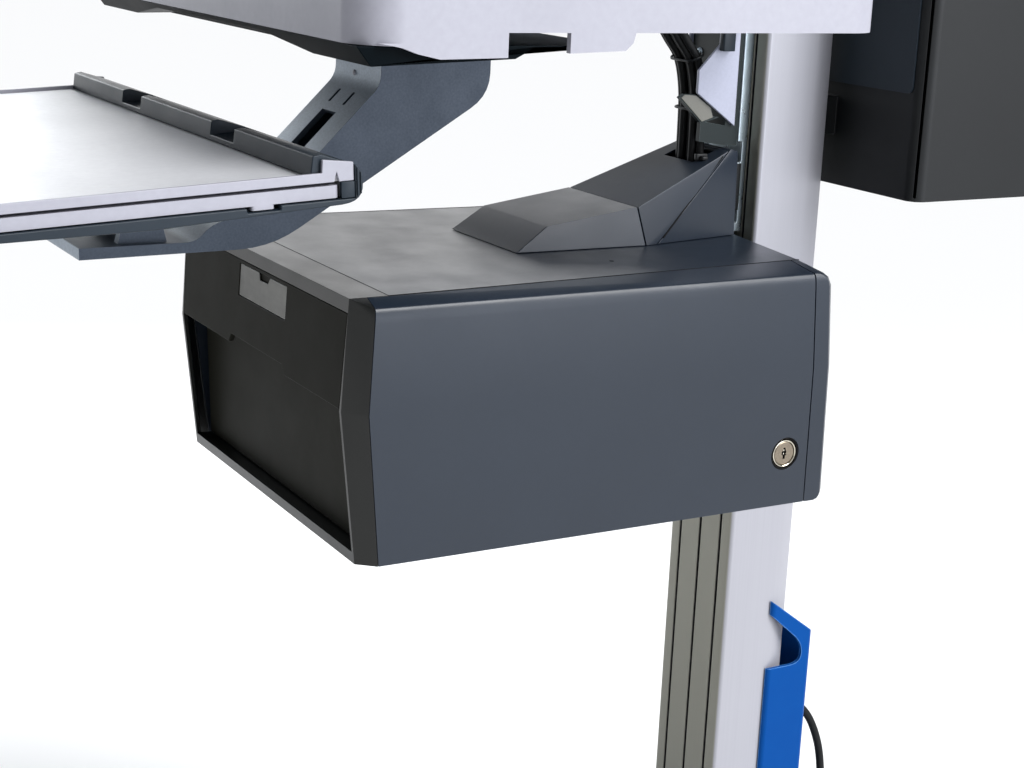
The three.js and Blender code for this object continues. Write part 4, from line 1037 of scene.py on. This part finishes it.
def make_tray_ends():
    """Dark caps over the tray's rear web, and two ribs on each end of the pan's rounded rear edge."""
    for side, name in ((1, "right"), (-1, "left")):
        bm = bmesh.new()
        for (x0, x1), (y0, y1), (z0, z1) in TRAY_END_BLOCKS:
            near, far = sorted((side * x0, side * x1))
            block(bm, Vector((near, y0, z0)) * MM, Vector((far, y1, z1)) * MM, 0.3 * MM, 2)
        bm.transform(TRAY_FRAME)
        piece("tray_end_cap_" + name, bm, "slate_plastic", "keyboard_tray")


# ---------------------------------------------------------------- fittings on the lift

TOP_SEAM_HEIGHT = 179.8
TOP_SEAM = [(-133.3, 371), (-149.6, 28), (149.6, 28), (133.3, 371)]
SADDLE_SEAM = [(35.0, 367.5, 242.5), (40.8, 343.5, 220), (46.6, 323, 201), (50.6, 306, 185)]


def make_seam_lines():
    """Painted shade for the gaps between the covers: dark tubes laid in the seams round the top cover, and
    between the saddle and rear cover.
    """
    bm = bmesh.new()
    top = [on_lift(x, y, TOP_SEAM_HEIGHT) for x, y in TOP_SEAM]
    for start, end in zip(top, top[1:]):
        tube(bm, [start, start.lerp(end, 0.5), end], 0.42 * MM, 8)
    for side in (1, -1):
        tube(bm, [on_lift(side * x, y, z) for x, y, z in SADDLE_SEAM], 0.8 * MM, 8)
    piece("cover_seams", bm, "dark_inside", "lift")


def lift_blocks(name, material, *blocks):
    """A piece of rounded blocks, each with two corners and an edge radius in millimetres."""
    bm = bmesh.new()
    for low_corner, high_corner, edge in blocks:
        block(bm, on_lift(*low_corner), on_lift(*high_corner), edge * MM)
    piece(name, bm, material, "lift")


# The cable guide's outline in Y and Z, in millimetres.
TONGUE = [(332.2, 287), (335.2, 289.2), (345.6, 288.4), (359.9, 278.9), (362.6, 271.6), (352.6, 268.6)]


def make_cable_guide():
    """The face of the tongue that holds the cable bundle: a thin lighter sheet on the cheek, painted light
    for the sloped flange that catches the light.
    """
    bm = bmesh.new()
    prism(bm, [on_lift(0, y, z) for y, z in TONGUE], Vector((24.6 * MM, 0, 0)), Vector((25.2 * MM, 0, 0)))
    piece("cable_guide_tongue", bm, "tongue_steel", "lift")


def make_arm_rivet():
    """The pale rivet on the front of the keyboard arm."""
    radius = 2.2 * MM
    bm = bmesh.new()
    turned(bm, [(0, 0), (radius, 0), (2.0 * MM, 0.7 * MM), (1.1 * MM, 1.3 * MM), (0, 1.5 * MM)],
           on_lift(-5, 72.4, 305.5), (0, -1, 0), 24)
    piece("arm_rivet", bm, "light_plastic", "lift")


def make_top_cover_plug():
    """A tiny plug in the housing's top, with a raised rim."""
    hole, rim, foot = 1.2 * MM, 1.7 * MM, -0.6 * MM
    bm = bmesh.new()
    turned(bm, [
        (0, -0.4 * MM), (hole, -0.4 * MM), (hole, 0.1 * MM), (1.5 * MM, 0.2 * MM), (rim, 0.05 * MM),
        (rim, foot), (0, foot),
    ], on_lift(96, 231, 180), (0, 0, 1), 24)
    piece("top_cover_plug", bm, "dark_inside", "lift")


# The screws under the housing, on the carriage and under the worksurface: X, Y and Z places in
# millimetres, the way they face, and their radius.
LIFT_SCREWS = [
    ((-135, 135), (60, 200, 330), (-2.2,), (0, 0, -1), 3.2 * MM),
    ((-15, 15), (375,), (282, 318), (0, -1, 0), 3.6 * MM),
    ((-70, 70), (80, 240, 350), (346.4,), (0, 0, -1), 3.4 * MM),
]


def make_lift_screws():
    """Button-head screws wherever the lift's plates are held."""
    bm = bmesh.new()
    for xs, ys, zs, facing, radius in LIFT_SCREWS:
        for x, y, z in product(xs, ys, zs):
            screw_head(bm, on_lift(x, y, z), facing, radius)
    piece("lift_screws", bm, "zinc_steel", "lift")


def make_lift_fittings():
    make_seam_lines()
    lift_blocks("cable_clip", "black_plastic", ((18.6, 353, 238.4), (29, 358.6, 242), 1.1),
                ((21, 350.4, 238.2), (24.6, 361, 243.4), 0.8))
    make_cable_guide()
    lift_blocks("carriage_stop", "slate_plastic", ((28.2, 362, 322.6), (34.5, 372.8, 345.6), 0.9))
    lift_blocks("saddle_hook", "black_plastic", ((26.1, 384.2, 198), (27.2, 391.8, 235), 0.3))
    make_arm_rivet()
    make_top_cover_plug()
    make_lift_screws()


# ---------------------------------------------------------------- fittings on the chassis

def make_compartment_plate():
    """A thin plate with rounded corners on the front of the rear compartment."""
    lo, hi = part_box("rear_compartment_body")
    plate_y, plate_bottom = 480, 297
    front = on_lift(0, plate_y, 0).y
    bottom = on_lift(0, 0, plate_bottom).z
    margin = 12 * MM
    outline = rounded_outline((hi.x - lo.x) / 2 - margin, (hi.z - bottom) / 2 - 1 * MM, 5 * MM)
    heart = Vector(((lo.x + hi.x) / 2, 0, (hi.z + bottom) / 2))
    bm = bmesh.new()
    prism(bm, [heart + Vector((p.x, 0, p.y)) for p in outline], Vector((0, front - 1.2 * MM, 0)),
          Vector((0, front + 0.4 * MM, 0)))
    piece("compartment_front_plate", bm, "slate_plastic", "chassis")


def make_louvres():
    """Raised slats on both sides of the rear compartment."""
    lo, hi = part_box("rear_compartment_body")
    slats, step, slat_height = 12, 9 * MM, 4 * MM
    first = hi.z - 60 * MM
    bm = bmesh.new()
    for wall, out in ((lo.x, -1), (hi.x, 1)):
        a, b = sorted((wall - out * 0.5 * MM, wall + out * 1.3 * MM))
        for i in range(slats):
            z = first - i * step
            block(bm, Vector((a, lo.y + 40 * MM, z)), Vector((b, hi.y - 35 * MM, z + slat_height)),
                  0.6 * MM, 2)
    piece("compartment_louvres", bm, "black_plastic", "chassis")


def make_chassis_screws():
    """Two screws on each side of the foot clamp, and one on the column's cap."""
    bm = bmesh.new()
    lo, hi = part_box("column_foot_clamp")
    for side in (-1, 1):
        for share in (0.22, 0.78):
            place = Vector((side * 58.2 * MM, lo.y + (hi.y - lo.y) * share, lo.z + 62 * MM))
            screw_head(bm, place, (side, 0, 0.25), 4 * MM)
    cap = middle("column_cap")
    screw_head(bm, Vector((0, cap.y, high("column_cap").z)), (0, 0, 1), 4.5 * MM)
    piece("chassis_screws", bm, "zinc_steel", "chassis")


def make_base_bumper():
    """A soft strip round the base cover's lower edge."""
    lo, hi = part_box("base_cover")
    outline = rounded_outline((hi.x - lo.x) / 2, (hi.y - lo.y) / 2, 55 * MM, 12)
    heart = Vector(((lo.x + hi.x) / 2, (lo.y + hi.y) / 2, lo.z + 6 * MM))
    bm = bmesh.new()
    tube(bm, [heart + p for p in outline], 3.2 * MM, 12, closed=True)
    piece("base_bumper", bm, "black_plastic", "chassis")


def make_pedal_ribs():
    """Four grip ribs across each brake pedal, following its slope."""
    ribs, first, step, width = 4, 6 * MM, 4.5 * MM, 1.8 * MM
    slope, inset, drop = 0.18, 3 * MM, 6.6 * MM
    for corner in ("front_left", "front_right"):
        lo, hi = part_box("brake_pedal_" + corner)
        bm = bmesh.new()
        for i in range(ribs):
            back = first + step * i
            y = hi.y - back
            z = hi.z - drop - slope * back
            block(bm, Vector((lo.x + inset, y, z - 1 * MM)),
                  Vector((hi.x - inset, y + width, z + 0.9 * MM)), 0.5 * MM, 2)
        piece("pedal_ribs_" + corner, bm, "black_plastic", "brake_" + corner)


def make_chassis_fittings():
    make_compartment_plate()
    make_louvres()
    make_chassis_screws()
    make_base_bumper()
    make_pedal_ribs()


# ---------------------------------------------------------------- the scene

make_camera()
MATERIALS = make_materials()
make_cords()
make_stage()
dress_cad_nodes()
make_lead_gland()
make_lock()
make_wheels()
make_palm_rest()
make_tray_ends()
make_lift_fittings()
make_chassis_fittings()
